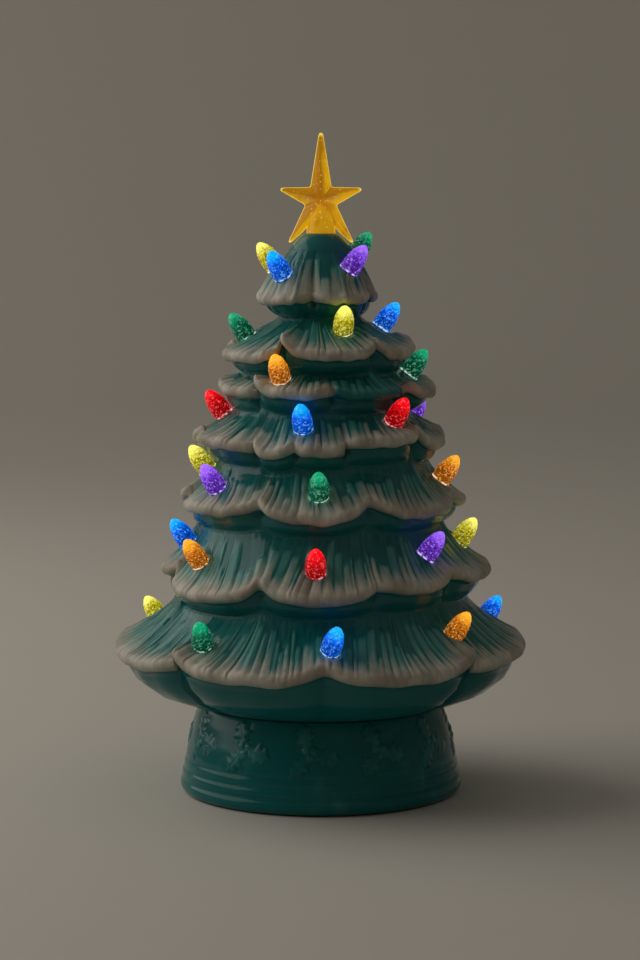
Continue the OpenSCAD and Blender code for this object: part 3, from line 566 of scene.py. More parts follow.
class TierForm:
    """Outline of one tier of the crown at any azimuth, from the sizes and shares of the solid."""

    def __init__(self, sizes, tier):
        self.sizes, self.tier, self.clefts = sizes, tier, CLEFTS[tier]
        self.top = sizes.seat_z + sizes.crown_h
        self.rim_r = sizes.bough_r * TIER_REACH_SHARES[tier]
        self.rim_z = sizes.seat_z + sizes.crown_h * TIER_LEVEL_SHARES[tier]
        self.half = sizes.rim_t * (1 - RIM_TAPER_SHARE * tier / (TIERS - 1))
        self.low_root = self.rim_r - sizes.rim_reach, self.rim_z - self.half - sizes.belly_h
        # Azimuths of the clefts, with the first one again at the end
        self.edges = np.append(self.clefts[:, 0], self.clefts[0, 0] + 360)
        self.above = TierForm(sizes, tier + 1) if tier < TIERS - 1 else None

    def bough(self, azimuth):
        """Number of the bough at an azimuth, and the place in it, from 0 at one cleft to 1 at the
        next."""
        edges = self.edges
        wrapped = (azimuth - edges[0]) % 360 + edges[0]
        number = np.clip(np.searchsorted(edges, wrapped, side="right") - 1, 0, len(edges) - 2)
        return number, (wrapped - edges[number]) / (edges[number + 1] - edges[number])

    def cleft(self, azimuth):
        """0 in the middle of a bough and 1 in the clefts at its sides."""
        return abs(2 * self.bough(azimuth)[1] - 1)

    def fold(self, azimuth):
        """How sharply the nearest cleft folds: most where its two sides lift by other amounts."""
        number, place = self.bough(azimuth)
        nearest = self.clefts[(number + (place >= 0.5)) % len(self.clefts)]
        return np.clip(2 * abs(nearest[..., 1] - nearest[..., 2]), 0.2, 1)

    def lift(self, azimuth):
        """How far the rim lifts above the level of its tier."""
        number, place = self.bough(azimuth)
        left, right = self.clefts[number], self.clefts[(number + 1) % len(self.clefts)]
        side = np.where(place < 0.5, left[..., 2], right[..., 1])
        # The rim arches over the cleft itself instead of coming to a point
        away = abs(2 * place - 1)
        past = np.clip(away - 1 + ARCH_SHARE, 0, None)
        climb = (away - past ** 2 / 2 / ARCH_SHARE) ** 3
        return self.sizes.cleft_lift * lerp(left[..., 3], side, climb)

    def bead(self, azimuth, angle):
        """Radius and height at an angle round the rim's bead."""
        b, half = np.radians(angle), self.half
        extra = self.sizes.rim_reach * self.clefts[self.bough(azimuth)[0], 4]
        r = self.rim_r + extra - self.sizes.cleft_depth * self.cleft(azimuth) ** 5
        return r - half + half * np.cos(b), self.rim_z + self.lift(azimuth) + half * np.sin(b)

    def root(self, azimuth):
        """Where the belly under the rim begins."""
        rise = ROOT_LIFT_SHARE * self.lift(azimuth)
        return self.low_root[0] + 0 * rise, self.low_root[1] + rise

    def slope_end(self, azimuth):
        if self.above:
            return self.above.root(azimuth)
        return self.sizes.dome_r + 0 * azimuth, self.top - self.sizes.dome_h + 0 * azimuth

    def corner(self, p, q):
        """The point that draws the slope from p to q into a hollow."""
        return [lerp(a, b, lerp(0.5, full, HOLLOW_SHARES[self.tier]))
                for a, b, full in zip(p, q, HOLLOW_CORNER_SHARES)]

    def slope(self, azimuth, s):
        p, q = self.bead(azimuth, BEAD_END), self.slope_end(azimuth)
        t = 1 - s
        return [a * t ** 2 + b * 2 * s * t + d * s ** 2 for a, b, d in zip(p, self.corner(p, q), q)]

    def bowl(self, azimuth, shares):
        r, z = self.bead(azimuth, BEAD_START)
        return lerp(self.sizes.neck_r, r, shares[0]), lerp(self.sizes.seat_z, z, shares[1])

    def bulb_frame(self, seat, bulbs):
        """Middle of a bulb's seat and the way that the bulb points."""
        azimuth, share_up, swing = seat
        r, z = self.slope(np.float64(azimuth), share_up)
        axis = turned(math.sin(bulbs.lean), math.cos(bulbs.lean), azimuth + swing)
        return turned(r, z, azimuth) - bulbs.seat_depth * axis, axis


def hollow(sizes):
    """Profile of the crown's hollow, from the spigot up to the roof under the star's socket."""
    forms = [TierForm(sizes, tier) for tier in range(TIERS)]
    wall, inset = sizes.wall, HOLLOW_INSET_SHARE * sizes.wall
    inner = sizes.spigot_r - wall
    belly = forms[0].bowl(0.0, BOWL_SHARES[1])
    yield inner, sizes.seat_z - sizes.spigot_h
    yield inner, sizes.seat_z + wall
    yield belly[0] - wall / 2, belly[1] + wall
    for form in forms:
        rim_r = form.rim_r + sizes.rim_reach * min(0, form.clefts[:, 4].min())
        end = form.above.low_root if form.above else form.slope_end(0)
        corner = form.corner((rim_r - form.half, form.rim_z + form.half), end)
        if form.tier:
            yield form.low_root[0] - wall, form.low_root[1]
        yield form.low_root[0] - inset, form.rim_z
        yield corner[0] - inset, corner[1] - inset
    yield sizes.dome_r - 1.5 * wall, form.top - sizes.dome_h - wall


class TierSkin(TierForm):
    """One tier of the crown's skin. Its rows run from the underside over the rolled rim and up the
    combed slope, with a few columns of points for each groove, from cleft to cleft."""

    # Place and height of the columns of one groove, from its valley over the ridge
    COLUMNS = ((0, 0), (0.22, 0.84), (0.5, 1), (0.78, 0.84))
    # Numbers of waves round the tier that together make its rim uneven
    WAVES = (4, 7, 11, 16, 23, 31)
    # What is drawn for each groove: its width, its depth, how high frost climbs in it, and its end
    WIDTHS, DEPTHS, CLIMBS, END_LUCK = (0.4, 1.9), (0.15, 1), (0.5, 1.5), (-0.18, 0.08)
    # Where a groove ends up the slope beside a cleft, how much higher it ends in the middle of a
    # bough, the share of grooves that end early, and where
    END, END_RISE, EARLY_SHARE, EARLY_ENDS = 0.68, 0.24, 0.25, (0.3, 0.6)
    # How a groove fades round its end, where all of them have begun to fade, and how deep the skin
    # lies past them, as a share of the deepest groove
    END_FADE, LAST_END, PLAIN_DEPTH = (-0.07, 0.05), 0.86, 0.6
    # Angles round the rim's bead between which the grooves begin, and where the frost is whole
    GROOVE_ANGLES, FROST_ANGLE = (-30, 65), -82

    def __init__(self, sizes, tier, draw):
        super().__init__(sizes, tier)
        columns = []
        for first, last in zip(self.edges, self.edges[1:]):
            count = max(4, round(math.radians(last - first) * self.rim_r / sizes.groove_pitch))
            widths = draw.uniform(*self.WIDTHS, count)
            starts = np.concatenate([[0], np.cumsum(widths / widths.sum())])
            for a, b in zip(starts, starts[1:]):
                depth = draw.uniform(*self.DEPTHS)
                climb = draw.uniform(*self.CLIMBS)
                inside = 1 - abs(a + b - 1)
                end = self.END + self.END_RISE * inside + draw.uniform(*self.END_LUCK)
                if draw.random() < self.EARLY_SHARE:
                    end = draw.uniform(*self.EARLY_ENDS)
                for along, height in self.COLUMNS:
                    place = lerp(a, b, along)
                    # A bough tucks in where its neighbour is nearer the front
                    tucked = 0 < first % 360 < 180 if place < 0.5 else last % 360 >= 180
                    columns.append((lerp(first, last, place), depth, climb, end, height,
                                    1.0 if tucked else -0.25))
        self.azimuths, depths, climbs, self.ends, self.ridges, tucks = np.array(columns).T
        self.depths = depths * (1 - self.ridges) * sizes.groove_depth
        self.climbs = climbs * sizes.frost_reach
        self.sways = draw.uniform(-1, 1, len(self.edges))
        phases = draw.uniform(0, 2 * math.pi, len(self.WAVES))
        a = np.radians(self.azimuths)
        self.arc = a * self.rim_r
        self.wave = sizes.wobble / 4 * sum(np.sin(k * a + w) for k, w in zip(self.WAVES, phases))
        cleft = self.cleft(self.azimuths)
        crease = sizes.crease * cleft ** 16 + sizes.overlap * tucks * cleft ** 7
        self.crease = crease * self.fold(self.azimuths)
        bare = np.isin(self.bough(self.azimuths)[0], BARE_BOUGHS.get(tier, ()))
        self.veil = 1 - bare * (1 - cleft ** 8)

    def marks(self, run, frost=0.0, ridge=0.0):
        """What the points of a row hold. The comb is their place along the rim and up the slope."""
        comb = np.stack([self.arc, run + 0 * self.arc, 0 * self.arc], 1)
        return {"comb": comb, "frost": frost * self.veil, "ridge": ridge * self.ridges}

    def rows(self):
        """Radius, height, azimuths and marks of each row."""
        yield from self.belly_rows() if self.tier else self.bowl_rows()
        yield from self.rim_rows()
        yield from self.slope_rows()

    def bowl_rows(self):
        """The underside of the lowest tier."""
        for shares in (*BOWL_SHARES, BOWL_EDGE_SHARES):
            r, z = self.bowl(self.azimuths, shares)
            yield r + self.wave / 2, z, self.azimuths, self.marks(BELLY_RUN)

    def belly_rows(self):
        """The underside of another tier."""
        root, start = self.root(self.azimuths), self.bead(self.azimuths, BEAD_START)
        for t in np.linspace(0, 1, 7)[:-1]:
            bulge = BELLY_BULGE * math.sin(math.pi * t)
            r = lerp(root[0], start[0], t) + bulge + (self.wave - self.crease) * t
            z = lerp(root[1], start[1], t) - bulge * 0.4
            yield r, z, self.azimuths, self.marks(BELLY_RUN)

    def rim_rows(self):
        for angle in np.linspace(BEAD_START, BEAD_END, RIM_ROWS):
            r, z = self.bead(self.azimuths, angle)
            up = 0.9 * smooth(angle, *self.GROOVE_ANGLES)
            depth = self.depths * up
            r = r + self.wave - self.crease - depth * math.cos(math.radians(angle))
            z = z + self.wave * 0.9 - depth * math.sin(math.radians(angle))
            frost = smooth(angle, BEAD_START, self.FROST_ANGLE)
            frost = frost * (1 - 0.2 * smooth(angle, 0, BEAD_END))
            run = self.half * math.radians(angle - BEAD_END)
            yield r, z, self.azimuths, self.marks(run, frost, up)

    def slope_rows(self):
        before, run = self.bead(self.azimuths, BEAD_END), 0
        for s in np.linspace(0, SLOPE_TOP, SLOPE_ROWS + 1)[1:]:
            fanned = self.fanned(s)
            r, z = self.slope(fanned, s)
            run = run + np.hypot(r - before[0], z - before[1])
            before = r, z
            ahead = self.slope(fanned, s + 0.01)
            along = np.stack([ahead[0] - r, ahead[1] - z])
            out, rise = np.array([along[1], -along[0]]) / np.linalg.norm(along, axis=0)
            hold = 1 - smooth(s, *(self.ends + x for x in self.END_FADE))
            carved = lerp(self.PLAIN_DEPTH * self.sizes.groove_depth, self.depths, hold)
            carved = carved * (1 - smooth(s, self.LAST_END, 1))
            depth = carved + (self.crease - self.wave) * (1 - s) ** 0.7
            climb = self.climbs * (1 + 0.3 * self.ridges * hold)
            frost = 0.76 * (1 - run / climb).clip(0, 1)
            yield r - depth * out, z - depth * rise, fanned, self.marks(run, frost, hold)

    def fanned(self, s):
        """Azimuths of the columns at a share up the slope: they spread from each bough's middle."""
        number, place = self.bough(self.azimuths)
        v = 2 * place - 1
        v = np.sign(v) * abs(v) ** (1 + self.sizes.fan * s)
        v = v + self.sways[number] * SWAY * (1 - v ** 2) * s ** 1.5
        return lerp(self.edges[number], self.edges[number + 1], (v + 1) / 2)


def seated(points, seats, bulbs):
    """Lay the points that are near a bulb flat on its seat."""
    foot = bulbs.radius + SEAT_GAP
    for middle, axis in seats:
        away = points - middle
        height = away @ axis
        side = np.linalg.norm(away - height[:, None] * axis, axis=1)
        sunk = np.where(height > 0, 1 - smooth(side, foot, foot + SEAT_CUT),
                        1 - smooth(side, *(foot + x for x in SEAT_FILL)))
        sunk = sunk * (abs(height) < SEAT_REACH)
        points = points - axis * (height * sunk + SEAT_EASE * (sunk > 0.98))[:, None]
    return points


def crown_skin(sizes, bulbs):
    """The glazed skin of the crown, with its clefts, rolled rims, combed slopes and bulb seats."""
    draw = np.random.default_rng(sizes.seed)
    skin = Skin()
    inside, ring_azimuths = skin.revolve(list(hollow(sizes))[::-1], slot=1)
    spigot_r, neck_r, seat_z = sizes.spigot_r, sizes.neck_r, sizes.seat_z
    neck, _ = skin.revolve([(spigot_r, seat_z - sizes.spigot_h), (spigot_r, seat_z),
                            (neck_r - NECK_EDGE[0], seat_z), (neck_r, seat_z + NECK_EDGE[1])])
    skin.join(inside[-1], neck[0])
    last, last_azimuths = neck[-1], ring_azimuths
    for tier, (_, _, places) in enumerate(BULB_ROWS):
        form = TierSkin(sizes, tier, draw)
        seats = [form.bulb_frame(place, bulbs) for place in places]
        rings = []
        for r, z, azimuths, marks in form.rows():
            rings.append(skin.ring(seated(turned(r, z, azimuths), seats, bulbs), **marks))
            if len(rings) == 1:
                skin.lace(last, rings[0], last_azimuths, azimuths)
        skin.chain(rings)
        last, last_azimuths = rings[-1], azimuths

    # Dome, socket of the star and the roof of the hollow
    dome_z, bore_r = form.top - sizes.dome_h, sizes.star_bore_r
    dome, _ = skin.revolve([(sizes.dome_r * r, lerp(dome_z, form.top, z)) for r, z in DOME_SHARES]
                           + [(bore_r, form.top), (bore_r, dome_z - sizes.wall)])
    skin.lace(last, dome[0], last_azimuths, ring_azimuths)
    skin.join(dome[-1], inside[0], 1)
    return skin


def crown_glaze_look(colours):
    """Gloss green glaze that runs thin over the combed ridges, with frost brushed over the rims."""
    look = Look("crown_glaze")
    comb, ridge, frost = look.stored("comb", "Vector"), look.stored("ridge"), look.stored("frost")
    # The comb's height up the slope is 0 and more on a bough, and less on the smooth belly below it
    on_bough = look.step(look.part(comb, 1), -0.012, 0)
    flow = look.streaks(comb, BROAD_STREAKS) * on_bough
    fine = look.streaks(comb, FINE_STREAKS) * on_bough
    # Painted shade: the smooth bellies under the rims carry no streaks to thin the glaze, so they
    # stay in the deep glaze, painted darker where the rims above shade them
    thin = look.step(ridge * 0.42 + flow * 0.7 + look.noise(26, 3) * 0.5, 0.4, 1.35)
    glaze = look.mix(thin, colours.deep, colours.thin)
    brushed = frost + (flow - 0.5) * 0.6 + (fine - 0.5) * 0.4 + (ridge - 0.5) * 0.14
    worn = look.step(look.noise(150, 3), 0.3, 0.7)
    streak = look.step(brushed, 0.1, 0.98) * (0.9 - worn * 0.22)
    dust = look.mix(look.step(look.noise(60, 3), 0.4, 0.64), colours.frost, colours.blush)
    roughness = colours.gloss + streak * (colours.satin - colours.gloss)
    relief = (flow * 0.7 + fine * 0.3, 0.0006, 0.5)
    return look.finish(look.mix(streak, glaze, dust), roughness, relief,
                       {"IOR": 1.5, "Specular IOR Level": 0.3})


def base_glaze_look(colours):
    """Gloss green glaze that pools round the moulded leaves."""
    look = Look("base_glaze")
    cloud, flow = look.noise(26, 3), look.noise(90, 3)
    thin = look.step(look.stored("ridge") * 0.16 + flow * 0.7 + cloud * 0.5, 0.6, 1.35)
    glaze = look.mix(thin, colours.deep, colours.thin)
    glaze = look.mix(look.stored("pool") * 0.4, glaze, dimmed(colours.deep, 0.25))
    return look.finish(glaze, colours.gloss, (cloud * 0.6 + flow * 0.4, 0.0003, 0.3),
                       {"IOR": 1.5, "Specular IOR Level": 0.2})


def bisque_look(colours):
    """Bare fired clay, as inside the crown."""
    look = Look("bisque")
    grain = look.noise(900, 3)
    tint = look.mix(look.noise(18, 3), colours.bisque, dimmed(colours.bisque, 0.8))
    return look.finish(tint, 0.78 + grain * 0.15, (grain, 0.0002, 0.5))


def leaf_relief(x, y, sizes):
    """Height of a sprig's leaves and berries at places across and up from its middle, as a share,
    and how much glaze pools round the leaves."""
    rows = np.array(LEAF_SHARES)
    height, pool = np.zeros_like(x), np.zeros_like(x)
    for turn in np.radians(LEAF_TURNS):
        across = abs(x * math.cos(turn) - y * math.sin(turn))
        along = (x * math.sin(turn) + y * math.cos(turn) - sizes.berry_r) / sizes.leaf_l
        half = np.interp(along, rows[:, 1], rows[:, 0], left=-0.5, right=-0.5) * sizes.leaf_w / 2
        inside = half - across
        ends = smooth(along, -0.03, 0.06) * (1 - smooth(along, 0.94, 1.02))
        body = smooth(inside, *LEAF_EDGE) * ends
        arch = 0.62 + 0.38 * np.clip(1 - across / np.maximum(half, 1e-4), 0, 1)
        rib = np.exp(-(across / RIB_W) ** 2) * 0.34
        veins = np.exp(-(np.sin((along - 2.2 * across / sizes.leaf_l) * 22) / 0.3) ** 2) * 0.12
        height = np.maximum(height, body * (arch - rib - veins))
        pool = np.maximum(pool, np.exp(-((inside + POOL_GAP) / POOL_W) ** 2) * ends)
    for k in range(BERRIES):
        b = math.radians(360 * (k + 0.5) / BERRIES)
        apart = 1.1 * sizes.berry_r
        away = np.hypot(x - apart * math.sin(b), y - apart * math.cos(b))
        ball = np.sqrt(np.clip(1 - (away / sizes.berry_r) ** 2, 0, 1)) * 1.5
        height = np.maximum(height, ball)
    return height, pool * (1 - smooth(height, 0.3, 0.6))


def base_skin(sizes):
    """The glazed base: banded foot, wall with moulded holly, lip, throat and hollow."""
    skin = Skin()
    azimuths = np.arange(BASE_STEPS) * 360 / BASE_STEPS
    band_h, wall, top = sizes.band_h, sizes.wall, sizes.height
    wall_foot = sizes.foot_r - FOOT_SHARES[-1][0] * sizes.band_d
    line = np.array(
        [(sizes.foot_r - sizes.band_d * x, lerp(sizes.pad_t, band_h, y)) for x, y in FOOT_SHARES]
        + [(lerp(wall_foot, sizes.lip_r, x), lerp(band_h, top, y)) for x, y in WALL_SHARES])
    profile = rounded(line, BASE_ROWS, BAND_ROUNDING)
    profile[0], profile[-1] = line[0], line[-1]
    lean = math.atan2(wall_foot - sizes.lip_r, top - band_h)
    middle_z = lerp(band_h, top, SPRIG_Z_SHARE)
    pitch = 360 / sizes.sprigs
    rings = []
    for r, z in profile:
        x = np.radians((azimuths - sizes.sprig_start + pitch / 2) % pitch - pitch / 2) * r
        on_wall = (z > band_h) * smooth(top - z, 0, RELIEF_FADE)
        relief, pool = leaf_relief(x, 0 * x + (z - middle_z) / math.cos(lean), sizes)
        out = relief * on_wall * sizes.relief_h
        points = turned(r + out * math.cos(lean), z + out * math.sin(lean), azimuths)
        rings.append(skin.ring(points, ridge=np.clip(relief * on_wall, 0, 1), pool=pool * on_wall))
    skin.chain(rings)
    inner, top_inner = wall_foot - wall, sizes.lip_r - wall
    ledge_r = sizes.recess_r - LEDGE_GAP - sizes.ledge_w
    inside, ring_azimuths = skin.revolve([
        (sizes.throat_r, top), (sizes.throat_r, top - wall), (top_inner, top - 2 * wall),
        (inner, band_h), (inner, band_h - sizes.ledge_w),
        (ledge_r, sizes.plate_top + sizes.ledge_w), (ledge_r, sizes.plate_top),
        (sizes.recess_r, sizes.plate_top), (sizes.recess_r, sizes.pad_t)], slot=1)
    skin.lace(rings[-1], inside[0], azimuths, ring_azimuths)
    skin.lace(inside[-1], rings[0], ring_azimuths, azimuths)
    return skin


def bulb_skin(seat, axis, azimuth, sizes, draw):
    """One bulb: a pebbled bullet with a collar at its foot and a straight peg below."""
    skin = Skin()
    line = np.array(BULLET_SHARES) * (sizes.radius, sizes.height)
    run = walked(line)
    bullet = on_line(line, run, np.linspace(0, run[-1], BULB_ROUNDS))
    around = np.radians(np.arange(BULB_STEPS) * 360 / BULB_STEPS)[:, None]
    side = np.cross(axis, turned(1, 0, azimuth))
    side /= np.linalg.norm(side)
    spokes = np.cos(around) * np.cross(side, axis) + np.sin(around) * side
    rings = []
    for n, (r, h) in enumerate([(sizes.peg_r, -sizes.peg_l), (sizes.peg_r, 0), *bullet]):
        bumps = draw.normal(0, BULB_BUMPS, (BULB_STEPS, 1)) if n >= PLAIN_ROUNDS else 0
        rings.append(skin.ring(seat + axis * h + (r + bumps) * spokes, rise=h / sizes.height))
    tip = skin.ring([seat + axis * sizes.height], rise=1)
    skin.chain(rings, flip=True)
    skin.fan(rings[-1], tip, flip=True)
    skin.face(rings[0])
    return skin


def bulb_look(name, tint, tip, sizes):
    """Lit, see-through plastic with a pebbled skin: brightest at the tip, with a bright collar."""
    look = Look("bulb_" + name)
    rise, patches = look.stored("rise"), look.noise(420)
    scale = 1 / sizes.pebble_pitch
    luck = look.add("ShaderNodeSeparateColor", None, {"Color": look.cells(scale, "Color")})
    stops = ((0.0, dimmed(tint, 0.4)), (0.35, dimmed(tint, 0.6)), (0.6, tint), (0.88, tip))
    glow = look.add("ShaderNodeValToRGB", {"stops": stops}, {"Fac": rise})
    dark = (1 - look.step(luck, 0.25, 0.5)) * (1 - look.step(rise, 0.4, 1.1))
    glow = look.mix(dark * 0.75, glow, dimmed(tint, 0.1))
    glow = look.mix(look.step(luck, 0.72, 0.97) * 0.5, glow, paled(tip, 0.15))
    collar = look.step(rise, 0.0, 0.015) * (1 - look.step(rise, 0.045, 0.08))
    glow = look.mix(collar * look.step(patches, 0.42, 0.54) * 0.9, glow, paled(tip, 0.5))
    pebbles = (look.cells(scale, feature="SMOOTH_F1"), sizes.pebble_h, 0.8)
    return look.finish(look.mix(0.5, glow, tint), 0.2 + patches * 0.16, pebbles,
                       {"IOR": 1.49, "Specular IOR Level": 0.3,
                        "Emission Color": glow, "Emission Strength": sizes.glow})


def star_outline(sizes, dome_r, bell_z):
    """The star's outline as places across and up from its feet, rounded at its corners."""
    right = [(sizes.width / 2 * x, sizes.height * y) for x, y in STAR_SHARES]
    right += [(dome_r * x + sizes.gap, 0) for x in STAR_FOOT_SHARES]
    right.append((dome_r * DOME_TOP_SHARE + sizes.gap, bell_z + sizes.gap))
    left = [(-x, z) for x, z in right[::-1]]
    crotch, top = (0, sizes.height * STAR_CROTCH_SHARE), (0, sizes.height)
    line = np.array([*right, crotch, *left, top, right[0]])
    return rounded(line, STAR_STEPS, STAR_ROUNDING, closed=True)


def star_skin(sizes, crown):
    """Five ridged arms over a bell that rests on the dome, and the peg below."""
    skin = Skin()
    top = crown.seat_z + crown.crown_h
    star_z = top - STAR_DROP_SHARE * crown.dome_h
    bell_z = top - star_z
    heart_z = STAR_HEART_SHARE * sizes.height
    outline = star_outline(sizes, crown.dome_r, bell_z)
    along = np.roll(outline, -1, axis=0) - np.roll(outline, 1, axis=0)
    along /= np.linalg.norm(along, axis=1)[:, None]
    # Painted light: the facets that look down and to the right are painted brightest, as if they
    # bent the most light towards the front
    facet = 0.5 - 0.32 * along[:, 1] - 0.38 * along[:, 0]
    rims = []
    for side in (-1, 1):
        rings = []
        for t, swell in STAR_FACE_SHARES:
            x, z = lerp(outline, np.array([0, heart_z]), t).T
            thick = lerp(sizes.edge, sizes.thick, swell) if t else sizes.edge * STAR_EDGE_SHARE
            points = np.stack([x, 0 * x + side * thick / 2, z + star_z], 1)
            rings.append(skin.ring(points, inner=t, facet=facet))
        tip = skin.ring([[0, side * sizes.thick / 2, heart_z + star_z]], inner=1, facet=0.5)
        skin.chain(rings, flip=side < 0)
        skin.fan(rings[-1], tip, flip=side < 0)
        rims.append(rings[0])
    skin.join(*rims)
    bell = [(sizes.bell_r * r, star_z + lerp(bell_z, heart_z, z)) for r, z in BELL_SHARES]
    peg = [(POINT_R, top - sizes.peg_l), (sizes.peg_r, top - sizes.peg_l), (sizes.peg_r, top)]
    skin.revolve(peg + bell, BELL_STEPS, inner=0.6, facet=0.9)
    return skin


def amber_look(sizes):
    """See-through amber plastic, lit from below: bright at its edges and deep at its heart."""
    look = Look("amber_plastic")
    inner, facet = look.stored("inner"), look.stored("facet")
    sparkle, waves = look.cells(380), look.streaks(look.place, (260, 260, 110), 3)
    edge, heart = 1 - look.step(inner, 0.01, 0.07), look.step(inner, 0.4, 0.85)
    red, green, blue = sizes.amber
    # Painted light: facets facing down and to the right, together with random swirls through the
    # plastic, mix a shaded amber towards a lit amber
    painted_light_and_waves = look.step(facet + (waves - 0.5) * 1.5, 0.2, 1.0)
    tint = look.mix(0.35, look.mix(painted_light_and_waves, (0.36, 0.165, 0.002), (0.80, 0.50, 0.010)), sizes.amber)
    tint = look.mix(heart * 0.7, tint, (red * 0.8, green * 0.55, blue * 0.2))
    tint = look.mix(edge * 0.9, tint, (1.0, 0.84, 0.12))
    glints = look.step(1 - sparkle, 0.76, 0.95) * (0.3 + heart * 0.7)
    tint = look.mix(glints * 0.9, tint, (1.0, 0.82, 0.25))
    return look.finish(tint, 0.10 + waves * 0.12, (waves * 0.6 + sparkle * 0.4, 0.0005, 0.5),
                       {"IOR": 1.49, "Transmission Weight": 0.35, "Specular IOR Level": 0.2,
                        "Emission Color": tint, "Emission Strength": sizes.glow})


# Finishes of the pieces that keep their solid


def moulded_look(name, tint, roughness, grain_scale=1400, wear=0.12):
    """Moulded plastic or rubber with a fine sparked grain and slightly polished patches."""
    look = Look(name)
    grain, patch = look.noise(grain_scale), look.noise(60, 3)
    shade = look.mix(patch * wear * 2, tint, tuple(min(1.0, c * 1.5 + 0.02) for c in tint))
    return look.finish(shade, roughness + (patch - 0.5) * wear, (grain, 0.00012, 0.4))


def steel_look():
    """Nickel-plated steel with drawing lines."""
    look = Look("plated_steel")
    lines = look.streaks(look.place, (60, 2400, 2400))
    tarnish = look.step(look.noise(240, 3), 0.5, 0.75)
    tint = look.mix(tarnish * 0.4, (0.66, 0.64, 0.60), (0.42, 0.39, 0.33))
    return look.finish(tint, 0.22 + lines * 0.2, (lines, 0.00004, 0.3), {"Metallic": 1.0})


def cell_look(flip):
    """A battery cell in a plain two-tone sleeve with bare metal ends."""
    look = Look("cell_sleeve_" + ("a" if flip else "b"))
    along = look.part(look.place, 0) * (-1.0 if flip else 1.0)
    bare = look.step(along, 0.0226, 0.0228) + (1 - look.step(along, -0.0250, -0.0248))
    scuff = look.step(look.noise(420, 3), 0.55, 0.8)
    sleeve = look.mix(look.step(along, 0.0088, 0.0092), (0.035, 0.036, 0.04), (0.50, 0.24, 0.06))
    sleeve = look.mix(scuff * 0.25, sleeve, (0.2, 0.18, 0.15))
    return look.finish(look.mix(bare, sleeve, (0.62, 0.60, 0.56)), 0.28 + scuff * 0.25,
                       (scuff, 0.00005, 0.3), {"Metallic": 0.35 + bare * 0.65})


def board_look():
    """Green lacquered board with fine copper tracks under the lacquer."""
    look = Look("lamp_board")
    tracks = look.step(look.cells(260, feature="DISTANCE_TO_EDGE"), 0.05, 0.09)
    tint = look.mix(tracks, (0.10, 0.20, 0.05), (0.010, 0.105, 0.035))
    return look.finish(tint, 0.3 + look.noise(500) * 0.15, (tracks, 0.00006, 0.5),
                       {"Coat Weight": 0.4})


def lit_look(name, tint, strength, roughness):
    """A lit piece: phosphor of the chips, or the frosted cap over them."""
    look = Look(name)
    haze = look.noise(220, 3)
    glow = look.mix(haze, tint, dimmed(tint, 0.82))
    return look.finish(glow, roughness + haze * 0.15, (haze, 0.00008, 0.3),
                       {"Emission Color": glow, "Emission Strength": strength})


def paper_look(tint):
    """Plain matte paper of the floor and backdrop."""
    look = Look("studio_paper")
    grain = look.noise(380, 3)
    shade = look.mix(look.noise(1.4, 3) * 0.25, tint, dimmed(tint, 0.9))
    return look.finish(shade, 0.62 + grain * 0.2, (grain, 0.0002, 0.25),
                       {"Specular IOR Level": 0.25})


# Operators


class TREE_OT_stage(bpy.types.Operator):
    """Set up the camera, the paper floor and backdrop, and the soft lights"""

    bl_idname = "ceramic_tree.stage"
    bl_label = "Set Stage"

    def execute(self, context):
        scene, studio = context.scene, context.scene.tree_studio
        self.camera(scene, studio)
        self.paper(studio)
        for name, power, *row in SOFT_BOXES:
            self.soft_box(scene, name, getattr(studio, power), *row)
        scene.world = bpy.data.worlds.new("studio_light")
        scene.world.use_nodes = True
        sky = scene.world.node_tree.nodes["Background"].inputs
        sky["Color"].default_value = (1.0, 0.965, 0.92, 1)
        sky["Strength"].default_value = studio.sky
        scene.view_settings.view_transform = "Standard"
        return {"FINISHED"}

    def camera(self, scene, studio):
        data = bpy.data.cameras.new("studio_camera")
        data.sensor_width, data.lens = 36, studio.lens_mm
        camera = bpy.data.objects.new("studio_camera", data)
        camera.location = (studio.camera_x, -studio.camera_y, studio.camera_z)
        camera.rotation_euler = (math.pi / 2 - studio.pitch, 0, 0)
        scene.collection.objects.link(camera)
        scene.camera = camera

    def paper(self, studio):
        """A round floor that sweeps up into its backdrop, in one sheet."""
        skin = Skin()
        far_r = studio.floor_r + studio.sweep_r
        curve = [(studio.floor_r + studio.sweep_r * math.sin(a), studio.sweep_r * (1 - math.cos(a)))
                 for a in np.radians(np.linspace(90, 0, SWEEP_ROWS))]
        rings, _ = skin.revolve([(far_r, studio.backdrop_h), *curve, (PAPER_R, 0)], PAPER_STEPS)
        skin.face(rings[-1])
        skin.build("studio_paper", [paper_look(studio.paper)])

    def soft_box(self, scene, name, power, place, target, size, tint):
        data = bpy.data.lights.new(name, "AREA")
        data.shape = "RECTANGLE"
        data.size, data.size_y = size
        data.energy, data.color = power, tint
        lamp = bpy.data.objects.new(name, data)
        lamp.location = place
        lamp.rotation_mode = "QUATERNION"
        lamp.rotation_quaternion = (Vector(target) - Vector(place)).to_track_quat("-Z", "Y")
        lamp.visible_camera = False
        scene.collection.objects.link(lamp)


class TREE_OT_crown(bpy.types.Operator):
    """Build the glazed crown with its boughs, frosted rims and combed slopes"""

    bl_idname = "ceramic_tree.crown"
    bl_label = "Glaze Crown"

    def execute(self, context):
        scene = context.scene
        skin = crown_skin(scene.tree_crown, scene.tree_bulbs)
        looks = [crown_glaze_look(scene.tree_glaze), bisque_look(scene.tree_glaze)]
        skin.piece("glazed_crown", looks, "crown", "green_glaze", ["tree_shell"])
        return {"FINISHED"}


class TREE_OT_base(bpy.types.Operator):
    """Build the glazed base with its banded foot and moulded holly"""

    bl_idname = "ceramic_tree.base"
    bl_label = "Glaze Base"

    def execute(self, context):
        scene = context.scene
        skin = base_skin(scene.tree_base)
        looks = [base_glaze_look(scene.tree_glaze), bisque_look(scene.tree_glaze)]
        skin.piece("glazed_base", looks, "base", "green_glaze", ["base_shell"])
        return {"FINISHED"}


